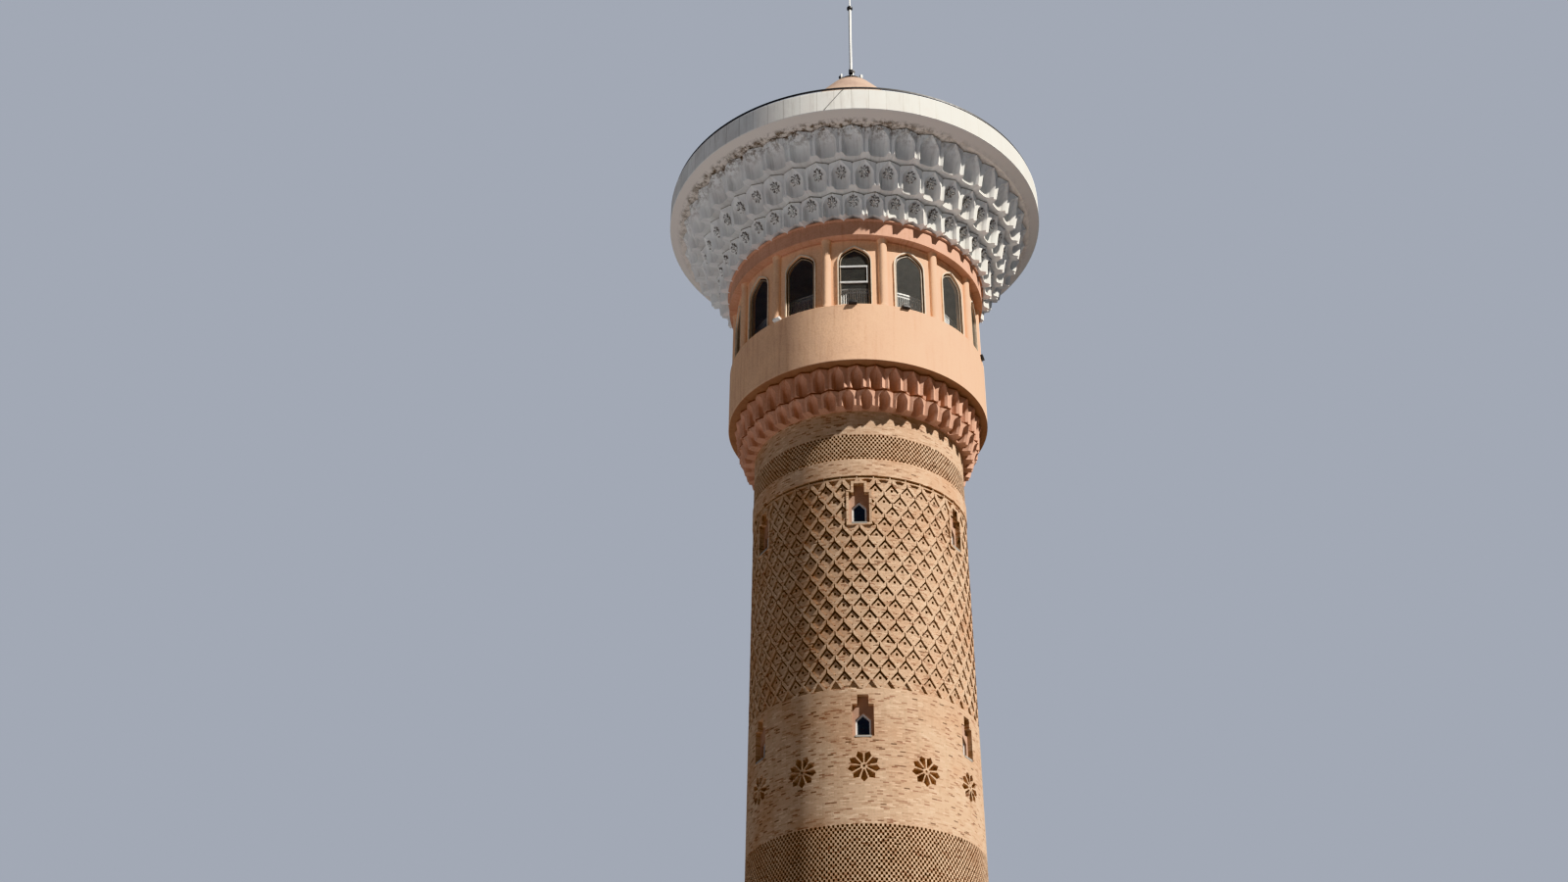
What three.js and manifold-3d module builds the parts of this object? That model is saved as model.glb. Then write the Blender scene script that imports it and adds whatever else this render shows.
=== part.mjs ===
// A round brick minaret with a glazed gallery and a flared white crown, as a 1:10 scale model.
// Millimetres, +Z up, origin at the centre of the foot on the ground.
// Azimuth 0 faces -Y and grows towards +X.

import * as THREE from 'three';
import { mergeVertices } from 'three/addons/utils/BufferGeometryUtils.js';
import Module from 'manifold-3d';

const wasm = await Module();
wasm.setup();

// Scale and fit
const METRE = 100; // one real metre in the model
const GAP = 0.3; // clearance beside a neighbour
const TURN = 2 * Math.PI;
const ROUND = 36; // sides of a plain ring
const GALLERY_ROUND = 42; // sides of a ring that follows the gallery bays
const FINE_ROUND = 84; // sides of the wide rim

// Real heights above the ground, in metres
const PLINTH_STEP_RISE = 0.15;
const PLINTH_STEPS = 3;
const PLINTH_TOP = PLINTH_STEPS * PLINTH_STEP_RISE;
const BASE_TOP = 6.4;
const LOWER_BELT_BOTTOM = 22.57;
const UPPER_BELT_BOTTOM = 42.77;
const BELT_HEIGHT = 0.97;
const LOWER_BELT_TOP = LOWER_BELT_BOTTOM + BELT_HEIGHT;
const UPPER_BELT_TOP = UPPER_BELT_BOTTOM + BELT_HEIGHT;
const NECK_TOP = 46.36;
const CORBEL_MIDDLE = 47.16;
const CORBEL_TOP = 48.32;
const GALLERY_LEVEL = 51.54;
const BEAM_BOTTOM = 55.51;
const CEILING_BOTTOM = 56.49;
const CROWN_LEVELS = [56.69, 57.7, 59.01, 60.38];
const SOFFIT_TOP = 60.7;
const RIM_TOP = 61.99;
const LANTERN_TOP = 65.3;
const CAP_TOP = 71.6;
const MAST_COLLAR_LEVEL = 77.42;
const MAST_TOP = 80;

// Real radii, in metres
const SHAFT_FOOT_RADIUS = 5.24;
const SHAFT_TAPER = 0.00495; // loss of radius for each metre of height
const SHAFT_INNER_RADIUS = 4.4; // walls 0.84 m thick at the foot and 0.61 m at the neck
const PLINTH_RADIUS = 5.54;
const PLINTH_TREAD = 0.3;
const BELT_PROJECTION = 0.05;
const CORBEL_RADII = [5.48, 5.88, 6.32];
const PARAPET_RADIUS = 6.32;
const PARAPET_INNER_RADIUS = 5.5;
const FLOOR_RADIUS = 5.8;
const GALLERY_WALL_RADIUS = 5.9;
const GALLERY_WALL_INNER_RADIUS = 5.55;
const BEAM_RADIUS = 6.54;
const CROWN_RADII = [6.57, 7.26, 8.13, 9.08];
const CROWN_WALL = 0.55;
const RIM_RADIUS = 9.67;
const RIM_WALL = 0.22;
const DECK_RADIUS = 8.85;
const DECK_THICKNESS = 0.3;
const LANTERN_RADIUS = 5;
const LANTERN_WALL = 0.3;
const LANTERN_EAVES = 0.15;
const CAP_RADIUS = 0.72;

// Repeats around the tower
const SHAFT_ARCS = 3;
const PORTALS_AROUND = 6;
const GALLERY_BAYS = 14;
const BAYS_PER_WALL = 2;
const NICHES_AROUND = 42;
const NICHE_DEPTH = 0.38;
const CORBEL_NICHE_DEPTH = 0.32;

// Slit windows of the shaft: heights are above the sill
const WINDOW_ROWS = 4;
const WINDOW_ROW_PITCH = 10.11;
const FIRST_SILL = 10.13;
const WINDOW = { width: 0.645, eaves: 0.89, peak: 1.22 };
const RECESS = { width: 0.9, top: 1.55, notchWidth: 0.47, notchTop: 2.01, depth: 0.25 };
const SHORT_ROW_SCALE = 0.92;
const GLASS_THICKNESS = 0.02;
const GLASS_MARGIN = 0.2;

// Portals of the foot and windows of the gallery
const PORTAL = { width: 3, spring: 3.7, apex: 5.65, depth: 0.25 };
const DOORWAY = { width: 1.8, spring: 2.5, apex: 3.6 };
const GALLERY_WINDOW = { width: 1.41, spring: 54.3, apex: 55.25 };
const PILASTER_RADIUS = 0.225;
const PILASTER_CENTRE = 6.02;

// Gallery railing, on a kerb behind the glass
const KERB = { inner: 5.25, outer: 5.48, height: 0.5 };
const RAIL = { radius: 5.38, section: 0.05, height: 1.05, foot: 0.12, posts: 28 };

// Roof fittings
const MAST_RADIUS = 0.075;
const ROD_RADIUS = 0.04;
const COLLAR = { radius: 0.16, height: 0.3 };
const LAMP_PLATE = { inner: 0.25, outer: 0.7, thickness: 0.05 };
const LAMP = { width: 0.22, depth: 0.18, height: 0.66, centre: 0.56, count: 4 };

const brick = new THREE.MeshStandardMaterial({ color: 0xb18a63, roughness: 0.92, metalness: 0 });
const paleBrick = new THREE.MeshStandardMaterial({ color: 0xc39e74, roughness: 0.92, metalness: 0 });
const stone = new THREE.MeshStandardMaterial({ color: 0x9d9488, roughness: 0.85, metalness: 0 });
const peachPlaster = new THREE.MeshStandardMaterial({ color: 0xd89a78, roughness: 0.9, metalness: 0 });
const whitePlaster = new THREE.MeshStandardMaterial({ color: 0xe6e2da, roughness: 0.85, metalness: 0 });
const concrete = new THREE.MeshStandardMaterial({ color: 0xa7a39b, roughness: 0.95, metalness: 0 });
const darkGlass = new THREE.MeshStandardMaterial({ color: 0x2a3036, roughness: 0.1, metalness: 0 });
const paintedSteel = new THREE.MeshStandardMaterial({ color: 0xe9ecec, roughness: 0.4, metalness: 0.3 });
const darkSteel = new THREE.MeshStandardMaterial({ color: 0x3a3d40, roughness: 0.5, metalness: 0.6 });

const minaret = new THREE.Group();

// Closed geometry and solids

function weld(geometry) {
  const bare = geometry.index ? geometry.toNonIndexed() : geometry.clone();
  bare.deleteAttribute('normal');
  bare.deleteAttribute('uv');
  const merged = mergeVertices(bare, 1e-4);
  const corners = merged.index.array;
  const kept = [];
  for (let i = 0; i < corners.length; i += 3) {
    const [a, b, c] = [corners[i], corners[i + 1], corners[i + 2]];
    if (a !== b && b !== c && c !== a) kept.push(a, b, c);
  }
  merged.setIndex(kept);
  if (signedVolume(merged) < 0) merged.setIndex(kept.reverse());
  return merged;
}

function signedVolume(geometry) {
  const place = geometry.getAttribute('position');
  const corners = geometry.index.array;
  const [a, b, c] = [new THREE.Vector3(), new THREE.Vector3(), new THREE.Vector3()];
  let volume = 0;
  for (let i = 0; i < corners.length; i += 3) {
    a.fromBufferAttribute(place, corners[i]);
    b.fromBufferAttribute(place, corners[i + 1]);
    c.fromBufferAttribute(place, corners[i + 2]);
    volume += a.dot(b.cross(c)) / 6;
  }
  return volume;
}

function toSolid(geometry) {
  const welded = weld(geometry);
  const vertProperties = new Float32Array(welded.getAttribute('position').array);
  const triVerts = new Uint32Array(welded.index.array);
  return new wasm.Manifold(new wasm.Mesh({ numProp: 3, vertProperties, triVerts }));
}

function toGeometry(solid) {
  const mesh = solid.getMesh();
  const geometry = new THREE.BufferGeometry();
  geometry.setAttribute('position', new THREE.BufferAttribute(mesh.vertProperties, 3));
  geometry.setIndex(new THREE.BufferAttribute(mesh.triVerts, 1));
  return geometry;
}

function addPiece(name, geometry, material, azimuth = 0) {
  const mesh = new THREE.Mesh(geometry, material);
  mesh.name = name;
  mesh.rotation.z = azimuth;
  minaret.add(mesh);
  return mesh;
}

// Basic forms, all sized in real metres

// A body of revolution about Z from [radius, height] pairs, closed on itself or on the axis.
function revolve(profile, sides = ROUND, start = 0) {
  const points = profile.map(([radius, height]) => new THREE.Vector2(radius * METRE, height * METRE));
  if (profile[0][0] > 0) points.push(points[0].clone());
  const geometry = new THREE.LatheGeometry(points, sides, start, TURN);
  geometry.rotateX(Math.PI / 2);
  return weld(geometry);
}

function ring(inner, outer, bottom, top, sides = ROUND) {
  return revolve([[inner, bottom], [outer, bottom], [outer, top], [inner, top]], sides);
}

function disc(radius, bottom, top, sides = ROUND) {
  return revolve([[0, bottom], [radius, bottom], [radius, top], [0, top]], sides);
}

function shaftRadius(height) {
  return SHAFT_FOOT_RADIUS - SHAFT_TAPER * height;
}

// A tapering piece of the round wall, centred on azimuth 0 and a hair short at both ends.
function wallArc(angle, bottom, top) {
  const halfGap = GAP / 2 / (SHAFT_INNER_RADIUS * METRE);
  const steps = Math.round(ROUND * angle / TURN);
  const outer = shaftRadius(bottom) * METRE;
  const inner = SHAFT_INNER_RADIUS * METRE;
  const azimuths = [];
  for (let i = 0; i <= steps; i++) azimuths.push(-angle / 2 + angle * i / steps);
  azimuths[0] += halfGap;
  azimuths[steps] -= halfGap;
  const outside = azimuths.map((a) => new THREE.Vector2(outer * Math.sin(a), -outer * Math.cos(a)));
  const inside = azimuths.map((a) => new THREE.Vector2(inner * Math.sin(a), -inner * Math.cos(a)));
  const plan = new THREE.Shape([...outside, ...inside.reverse()]);
  const geometry = new THREE.ExtrudeGeometry(plan, { depth: (top - bottom) * METRE, bevelEnabled: false });
  geometry.translate(0, 0, bottom * METRE);
  const place = geometry.getAttribute('position');
  const shrink = shaftRadius(top) / shaftRadius(bottom);
  for (let i = 0; i < place.count; i++) {
    const [x, y, z] = [place.getX(i), place.getY(i), place.getZ(i)];
    const onTopOutside = z > bottom * METRE + 1 && Math.hypot(x, y) > (outer + inner) / 2;
    if (onTopOutside) place.setXY(i, x * shrink, y * shrink);
  }
  return toSolid(geometry);
}

// An upright outline pushed through the wall between two distances from the axis.
function radialCut(shape, from, to, azimuth) {
  const geometry = new THREE.ExtrudeGeometry(shape, {
    depth: (to - from) * METRE, bevelEnabled: false, curveSegments: 3,
  });
  geometry.translate(0, 0, from * METRE);
  const across = new THREE.Vector3(Math.cos(azimuth), Math.sin(azimuth), 0);
  const up = new THREE.Vector3(0, 0, 1);
  const outward = new THREE.Vector3(Math.sin(azimuth), -Math.cos(azimuth), 0);
  geometry.applyMatrix4(new THREE.Matrix4().makeBasis(across, up, outward));
  return toSolid(geometry);
}

function outline(points) {
  return new THREE.Shape(points.map(([x, z]) => new THREE.Vector2(x * METRE, z * METRE)));
}

function pointedArch({ width, spring, apex }, sill) {
  const half = width / 2 * METRE;
  const rise = (apex - spring) * METRE;
  const bend = (half * half + rise * rise) / (2 * half);
  const sweep = Math.atan2(rise, bend - half);
  const shape = new THREE.Shape();
  shape.moveTo(-half, sill * METRE);
  shape.lineTo(half, sill * METRE);
  shape.absarc(half - bend, spring * METRE, bend, 0, sweep, false);
  shape.absarc(bend - half, spring * METRE, bend, Math.PI - sweep, Math.PI, false);
  return shape;
}

// A ring whose outer face is folded into upright niches between fins. The fins stand out at the
// bottom and the niche heads at the top, so that the next tier's fins carry on above the heads.
function nicheRing(radii, levels, inner, depth, firstFin) {
  const [bottomRadius, topRadius] = radii;
  const [bottom, top] = levels;
  const profile = [[inner[0], bottom], [bottomRadius, bottom], [topRadius, top], [inner[1], top]];
  const geometry = revolve(profile, 2 * NICHES_AROUND, firstFin);
  const place = geometry.getAttribute('position');
  const outerLimit = (Math.min(bottomRadius, topRadius) - depth) * METRE;
  const cell = TURN / NICHES_AROUND;
  const middle = (bottom + top) / 2 * METRE;
  for (let i = 0; i < place.count; i++) {
    const [x, y] = [place.getX(i), place.getY(i)];
    const radius = Math.hypot(x, y);
    const turned = (Math.atan2(x, -y) - firstFin + 2 * TURN) % cell;
    const inNiche = Math.abs(turned - cell / 2) < cell / 4;
    const setBack = inNiche === (place.getZ(i) < middle);
    const shrink = (radius - depth * METRE) / radius;
    if (setBack && radius > outerLimit) place.setXY(i, x * shrink, y * shrink);
  }
  return geometry;
}

// Foot

function addPlinth() {
  const profile = [[0, 0]];
  for (let step = 0; step < PLINTH_STEPS; step++) {
    const radius = PLINTH_RADIUS + PLINTH_TREAD * (PLINTH_STEPS - 1 - step);
    profile.push([radius, step * PLINTH_STEP_RISE], [radius, (step + 1) * PLINTH_STEP_RISE]);
  }
  profile.push([0, PLINTH_TOP]);
  addPiece('plinth', revolve(profile), stone);
}

function addBaseWalls() {
  const angle = TURN / PORTALS_AROUND;
  for (let i = 0; i < PORTALS_AROUND; i++) {
    let wall = wallArc(angle, PLINTH_TOP, BASE_TOP);
    const back = shaftRadius(BASE_TOP) - PORTAL.depth;
    wall = wall.subtract(radialCut(pointedArch(PORTAL, PLINTH_TOP), back, PLINTH_RADIUS, 0));
    const hasDoorway = i % (PORTALS_AROUND / 2) === 0;
    if (hasDoorway) {
      const doorway = pointedArch(DOORWAY, PLINTH_TOP);
      wall = wall.subtract(radialCut(doorway, SHAFT_INNER_RADIUS / 2, PLINTH_RADIUS, 0));
    }
    addPiece(`base_wall_${i + 1}`, toGeometry(wall), brick, i * angle);
  }
}

// Shaft

function windowScale(row) {
  return row % 2 === 0 ? SHORT_ROW_SCALE : 1;
}

function cutWindow(wall, row, azimuth) {
  const sill = FIRST_SILL + row * WINDOW_ROW_PITCH;
  const scale = windowScale(row);
  const half = WINDOW.width / 2;
  const recessHalf = RECESS.width / 2;
  const notchHalf = RECESS.notchWidth / 2;
  const recessTop = sill + RECESS.top * scale;
  const notchTop = sill + RECESS.notchTop * scale;
  const recess = outline([
    [-recessHalf, sill], [recessHalf, sill], [recessHalf, recessTop], [notchHalf, recessTop],
    [notchHalf, notchTop], [-notchHalf, notchTop], [-notchHalf, recessTop], [-recessHalf, recessTop],
  ]);
  const eaves = sill + WINDOW.eaves * scale;
  const light = outline([
    [-half, sill], [half, sill], [half, eaves], [0, sill + WINDOW.peak * scale], [-half, eaves],
  ]);
  const face = shaftRadius(sill);
  return wall
    .subtract(radialCut(recess, face - RECESS.depth, face + 1, azimuth))
    .subtract(radialCut(light, SHAFT_INNER_RADIUS / 2, face, azimuth));
}

function addShaftArcs(name, bottom, top, rows) {
  const angle = TURN / SHAFT_ARCS;
  const quarter = angle / 4;
  for (let i = 0; i < SHAFT_ARCS; i++) {
    let wall = wallArc(angle, bottom, top);
    for (const row of rows) {
      wall = cutWindow(wall, row, -quarter);
      wall = cutWindow(wall, row, quarter);
    }
    addPiece(`${name}_${i + 1}`, toGeometry(wall), brick, quarter + i * angle);
  }
}

function addWindowGlass() {
  for (let row = 0; row < WINDOW_ROWS; row++) {
    const sill = FIRST_SILL + row * WINDOW_ROW_PITCH;
    const top = sill + WINDOW.peak + GLASS_MARGIN;
    const outer = SHAFT_INNER_RADIUS - GAP / METRE;
    const glass = ring(outer - GLASS_THICKNESS, outer, sill - GLASS_MARGIN, top);
    addPiece(`window_glass_${row + 1}`, glass, darkGlass);
  }
}

function addBelt(name, bottom) {
  const radius = shaftRadius(bottom) + BELT_PROJECTION;
  addPiece(name, ring(SHAFT_INNER_RADIUS, radius, bottom, bottom + BELT_HEIGHT), paleBrick);
}

function addNeck() {
  const profile = [
    [SHAFT_INNER_RADIUS, UPPER_BELT_TOP],
    [shaftRadius(UPPER_BELT_TOP), UPPER_BELT_TOP],
    [shaftRadius(NECK_TOP), NECK_TOP],
    [SHAFT_INNER_RADIUS, NECK_TOP],
  ];
  addPiece('shaft_neck', revolve(profile), brick);
}

// Gallery

function addCorbel() {
  const halfCell = TURN / NICHES_AROUND / 2;
  const levels = [NECK_TOP, CORBEL_MIDDLE, CORBEL_TOP];
  const names = ['corbel_lower_tier', 'corbel_upper_tier'];
  names.forEach((name, i) => {
    const radii = [CORBEL_RADII[i], CORBEL_RADII[i + 1]];
    const inner = [SHAFT_INNER_RADIUS, SHAFT_INNER_RADIUS];
    const span = [levels[i], levels[i + 1]];
    addPiece(name, nicheRing(radii, span, inner, CORBEL_NICHE_DEPTH, i * halfCell), peachPlaster);
  });
}

function addParapetAndFloor() {
  const seat = GALLERY_LEVEL - DECK_THICKNESS;
  const profile = [
    [PARAPET_INNER_RADIUS, CORBEL_TOP],
    [PARAPET_RADIUS, CORBEL_TOP],
    [PARAPET_RADIUS, GALLERY_LEVEL],
    [FLOOR_RADIUS, GALLERY_LEVEL],
    [FLOOR_RADIUS, seat],
    [PARAPET_INNER_RADIUS, seat],
  ];
  addPiece('parapet_band', revolve(profile), peachPlaster);
  addPiece('gallery_floor', disc(FLOOR_RADIUS - GAP / METRE, seat, GALLERY_LEVEL), concrete);
}

function addGalleryWalls() {
  const bay = TURN / GALLERY_BAYS;
  const angle = bay * BAYS_PER_WALL;
  const outer = GALLERY_WALL_RADIUS * METRE;
  const inner = GALLERY_WALL_INNER_RADIUS * METRE;
  const halfGap = GAP / 2 / inner;
  const height = (BEAM_BOTTOM - GALLERY_LEVEL) * METRE;
  const steps = Math.round(GALLERY_ROUND * angle / TURN);
  const shift = bay / 6; // keeps the joint between walls beside a pilaster
  const azimuths = [];
  for (let i = 0; i <= steps; i++) azimuths.push(-angle / 2 + shift + angle * i / steps);
  azimuths[0] += halfGap;
  azimuths[steps] -= halfGap;
  const outside = azimuths.map((a) => new THREE.Vector2(outer * Math.sin(a), -outer * Math.cos(a)));
  const inside = azimuths.map((a) => new THREE.Vector2(inner * Math.sin(a), -inner * Math.cos(a)));
  const plan = new THREE.Shape([...outside, ...inside.reverse()]);
  const blank = new THREE.ExtrudeGeometry(plan, { depth: height, bevelEnabled: false });
  let wall = toSolid(blank.translate(0, 0, GALLERY_LEVEL * METRE));
  for (const azimuth of [0, bay]) {
    const pilaster = new THREE.CylinderGeometry(
      PILASTER_RADIUS * METRE, PILASTER_RADIUS * METRE, height, 10);
    pilaster.rotateX(Math.PI / 2);
    pilaster.translate(0, -PILASTER_CENTRE * METRE, GALLERY_LEVEL * METRE + height / 2);
    pilaster.rotateZ(azimuth);
    wall = wall.add(toSolid(pilaster));
  }
  const core = toSolid(
    disc(GALLERY_WALL_INNER_RADIUS, GALLERY_LEVEL - 1, BEAM_BOTTOM + 1, GALLERY_ROUND));
  wall = wall.subtract(core);
  for (const azimuth of [-bay / 2, bay / 2]) {
    const light = pointedArch(GALLERY_WINDOW, GALLERY_LEVEL - 1);
    wall = wall.subtract(radialCut(light, GALLERY_WALL_INNER_RADIUS / 2, BEAM_RADIUS, azimuth));
  }
  const count = GALLERY_BAYS / BAYS_PER_WALL;
  for (let i = 0; i < count; i++) {
    addPiece(`gallery_wall_${i + 1}`, toGeometry(wall), peachPlaster, bay / 2 + i * angle);
  }
}

function addGalleryGlass() {
  const outer = GALLERY_WALL_INNER_RADIUS - GAP / METRE;
  const glass = ring(outer - GLASS_THICKNESS, outer, GALLERY_LEVEL, BEAM_BOTTOM, GALLERY_ROUND);
  addPiece('gallery_glass', glass, darkGlass);
}

function addKerbAndRailing() {
  const seat = GALLERY_LEVEL + KERB.height;
  addPiece('gallery_kerb', ring(KERB.inner, KERB.outer, GALLERY_LEVEL, seat, GALLERY_ROUND), concrete);
  const { radius, section, height, foot, posts } = RAIL;
  const inner = radius - section / 2;
  const outer = radius + section / 2;
  const top = seat + height;
  const lower = seat + foot;
  const postHeight = height - section / 2;
  let railing = toSolid(ring(inner, outer, top - section, top));
  railing = railing.add(toSolid(ring(inner, outer, lower, lower + section)));
  for (let i = 0; i < posts; i++) {
    const post = new THREE.BoxGeometry(section * METRE, section * METRE / 2, postHeight * METRE);
    post.translate(0, -radius * METRE, (seat + postHeight / 2) * METRE);
    post.rotateZ(TURN * (i + 0.5) / posts);
    railing = railing.add(toSolid(post));
  }
  addPiece('gallery_railing', toGeometry(railing), paintedSteel);
}

function addBeamAndCeiling() {
  const beam = ring(GALLERY_WALL_INNER_RADIUS, BEAM_RADIUS, BEAM_BOTTOM, CEILING_BOTTOM);
  addPiece('gallery_beam', beam, peachPlaster);
  const ceilingRadius = CROWN_RADII[0] - CROWN_WALL / 2;
  addPiece('gallery_ceiling', disc(ceilingRadius, CEILING_BOTTOM, CROWN_LEVELS[0]), concrete);
}

// Crown and roof

function addCrown() {
  const halfCell = TURN / NICHES_AROUND / 2;
  for (let tier = 0; tier < CROWN_LEVELS.length - 1; tier++) {
    const radii = [CROWN_RADII[tier], CROWN_RADII[tier + 1]];
    const inner = radii.map((radius) => radius - CROWN_WALL);
    const span = [CROWN_LEVELS[tier], CROWN_LEVELS[tier + 1]];
    const firstFin = ((tier + 1) % 2) * halfCell;
    addPiece(`crown_tier_${tier + 1}`, nicheRing(radii, span, inner, NICHE_DEPTH, firstFin), whitePlaster);
  }
}

function addRimAndDeck() {
  const foot = CROWN_LEVELS[3];
  const gutter = foot + DECK_THICKNESS;
  const profile = [
    [DECK_RADIUS, foot],
    [CROWN_RADII[3], foot],
    [RIM_RADIUS, SOFFIT_TOP],
    [RIM_RADIUS, RIM_TOP],
    [RIM_RADIUS - RIM_WALL, RIM_TOP],
    [RIM_RADIUS - RIM_WALL, gutter + DECK_THICKNESS],
    [DECK_RADIUS, gutter],
  ];
  addPiece('crown_rim', revolve(profile, FINE_ROUND), whitePlaster);
  addPiece('roof_deck', disc(DECK_RADIUS - 2 * GAP / METRE, foot, gutter), concrete);
}

function addLantern() {
  const foot = CROWN_LEVELS[3] + DECK_THICKNESS;
  const inner = LANTERN_RADIUS - LANTERN_WALL;
  addPiece('lantern_drum', ring(inner, LANTERN_RADIUS, foot, LANTERN_TOP), peachPlaster);
  const slope = (CAP_TOP - LANTERN_TOP) / (LANTERN_RADIUS + LANTERN_EAVES - CAP_RADIUS);
  const hollowTop = LANTERN_TOP + slope * (inner - CAP_RADIUS / 2);
  const profile = [
    [0, CAP_TOP],
    [CAP_RADIUS, CAP_TOP],
    [LANTERN_RADIUS + LANTERN_EAVES, LANTERN_TOP],
    [inner, LANTERN_TOP],
    [CAP_RADIUS / 2, hollowTop],
    [0, hollowTop],
  ];
  addPiece('lantern_roof', revolve(profile), peachPlaster);
}

function addMast() {
  const collarFoot = MAST_COLLAR_LEVEL;
  const profile = [[0, CAP_TOP], [MAST_RADIUS, CAP_TOP], [MAST_RADIUS, collarFoot], [0, collarFoot]];
  addPiece('mast', revolve(profile, 16), paintedSteel);
  const collarTop = collarFoot + COLLAR.height;
  addPiece('mast_collar', disc(COLLAR.radius, collarFoot, collarTop, 16), darkSteel);
  addPiece('mast_rod', disc(ROD_RADIUS, collarTop, MAST_TOP, 12), paintedSteel);
}

function addCapLamps() {
  const { inner, outer, thickness } = LAMP_PLATE;
  let lamps = toSolid(ring(inner, outer, CAP_TOP, CAP_TOP + thickness, 24));
  const seat = CAP_TOP + thickness / 2;
  for (let i = 0; i < LAMP.count; i++) {
    const lamp = new THREE.BoxGeometry(LAMP.width * METRE, LAMP.depth * METRE, LAMP.height * METRE);
    lamp.translate(0, -LAMP.centre * METRE, (seat + LAMP.height / 2) * METRE);
    lamp.rotateZ(TURN * i / LAMP.count);
    lamps = lamps.add(toSolid(lamp));
  }
  addPiece('cap_lamps', toGeometry(lamps), darkSteel);
}

addPlinth();
addBaseWalls();
addShaftArcs('shaft_lower', BASE_TOP, LOWER_BELT_BOTTOM, [0, 1]);
addBelt('belt_lower', LOWER_BELT_BOTTOM);
addShaftArcs('shaft_upper', LOWER_BELT_TOP, UPPER_BELT_BOTTOM, [2, 3]);
addBelt('belt_upper', UPPER_BELT_BOTTOM);
addNeck();
addWindowGlass();
addCorbel();
addParapetAndFloor();
addGalleryWalls();
addGalleryGlass();
addKerbAndRailing();
addBeamAndCeiling();
addCrown();
addRimAndDeck();
addLantern();
addMast();
addCapLamps();

export default minaret;
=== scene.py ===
"""A round brick minaret with a glazed gallery and a flared white crown, as a 1:10 scale model.

Lengths are the building's metres times M, in the model's metres, +Z up. Azimuth 0 faces -Y and grows
towards +X. Flat sheets are drawn facing -Y, with X along the wall, and are then wrapped round the axis.
"""

import math

import bmesh
import bpy
from bpy.props import FloatProperty, FloatVectorProperty, IntProperty, PointerProperty
from mathutils import Matrix, Vector, noise


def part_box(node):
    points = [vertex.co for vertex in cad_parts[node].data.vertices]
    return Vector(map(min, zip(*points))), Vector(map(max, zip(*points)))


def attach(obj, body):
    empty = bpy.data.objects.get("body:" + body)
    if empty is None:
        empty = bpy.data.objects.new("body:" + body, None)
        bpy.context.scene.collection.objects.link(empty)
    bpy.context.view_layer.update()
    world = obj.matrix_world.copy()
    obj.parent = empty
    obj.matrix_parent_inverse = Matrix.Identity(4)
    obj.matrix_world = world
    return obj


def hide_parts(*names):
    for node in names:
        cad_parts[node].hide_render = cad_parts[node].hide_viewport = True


bl_info = {
    "name": "Brick Minaret",
    "version": (1, 0, 0),
    "blender": (4, 5, 0),
    "location": "View3D > Sidebar > Minaret",
    "description": "Builds a round brick minaret with a glazed gallery and a flared crown",
    "category": "Add Mesh",
}

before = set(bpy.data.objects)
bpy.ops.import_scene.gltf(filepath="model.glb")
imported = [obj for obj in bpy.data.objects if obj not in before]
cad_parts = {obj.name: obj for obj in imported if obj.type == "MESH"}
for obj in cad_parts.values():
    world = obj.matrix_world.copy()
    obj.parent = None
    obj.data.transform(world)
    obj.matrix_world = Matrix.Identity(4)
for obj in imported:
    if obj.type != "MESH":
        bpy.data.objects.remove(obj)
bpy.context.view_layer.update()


def low(node):
    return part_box(node)[0].z


def high(node):
    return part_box(node)[1].z


# Scale and turns
M = 0.1  # one metre of the building in the model
TURN = 2 * math.pi
FINE = 252  # steps of a smooth round piece

# Heights, read off the frame
PLINTH_TOP = high("plinth")
FOOT_TOP = high("base_wall_1")
LOWER_BELT = (low("belt_lower"), high("belt_lower"))
UPPER_BELT = (low("belt_upper"), high("belt_upper"))
NECK_TOP = high("shaft_neck")
CORBEL_MIDDLE = high("corbel_lower_tier")
CORBEL_TOP = high("corbel_upper_tier")
GALLERY_FLOOR = high("gallery_floor")
BEAM_BOTTOM = low("gallery_beam")
BEAM_TOP = high("gallery_beam")
CROWN_LEVELS = [low("crown_tier_1"), high("crown_tier_1"), high("crown_tier_2"), high("crown_tier_3")]
RIM_TOP = high("crown_rim")
DECK = high("roof_deck")
LANTERN_TOP = high("lantern_drum")
CAP_TOP = high("lantern_roof")
COLLAR = (low("mast_collar"), high("mast_collar"))
MAST_TOP = high("mast_rod")

# Shaft
FOOT_RADIUS = 5.24 * M
TAPER = 0.00495  # loss of radius for each metre of height
SHAFT_INSIDE = 4.4 * M
WINDOW_PITCH = 10.11 * M
FIRST_SILL = 10.13 * M
SILLS = [FIRST_SILL + row * WINDOW_PITCH for row in range(4)]
SILL_SCALES = [0.92, 1, 0.92, 1]  # heights of the windows, against the tallest
WINDOWS_AROUND = 6
ROSETTE_DROP = 1.31 * M  # from the sill above to the middle of a rosette
ROSETTES_AROUND = 12
DIAMOND_BAND = 10.34 * M
DIAMOND_ROWS = 9
DIAMONDS_AROUND = 42
DOTS_AROUND = 168
LOWER_DOTS = (LOWER_BELT[1], 26.6 * M, 25)  # foot, top and rows of holes
UPPER_DOTS = (UPPER_BELT[1], 45.08 * M, 11)

# A diamond's right half: places across and up from its middle, in the building's metres. The joint over
# its panel has the shape of a roof with a chimney.
DIAMOND_REACH = 5.1  # radius at which they are measured
CHIMNEY = (0.03, 0.468)
ROOF_RIDGE = 0.328
SHOULDER = (0.325, -0.07)
PANEL_FOOT = -0.465
FOOT_HOLE = 0.08
HOLE = (0.055, 0.045, -0.085)  # half width, head and sill
LEVEL_SHADE = (0, 0.1, 1)  # how much painted shade each level of a diamond gets, see below
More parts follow.
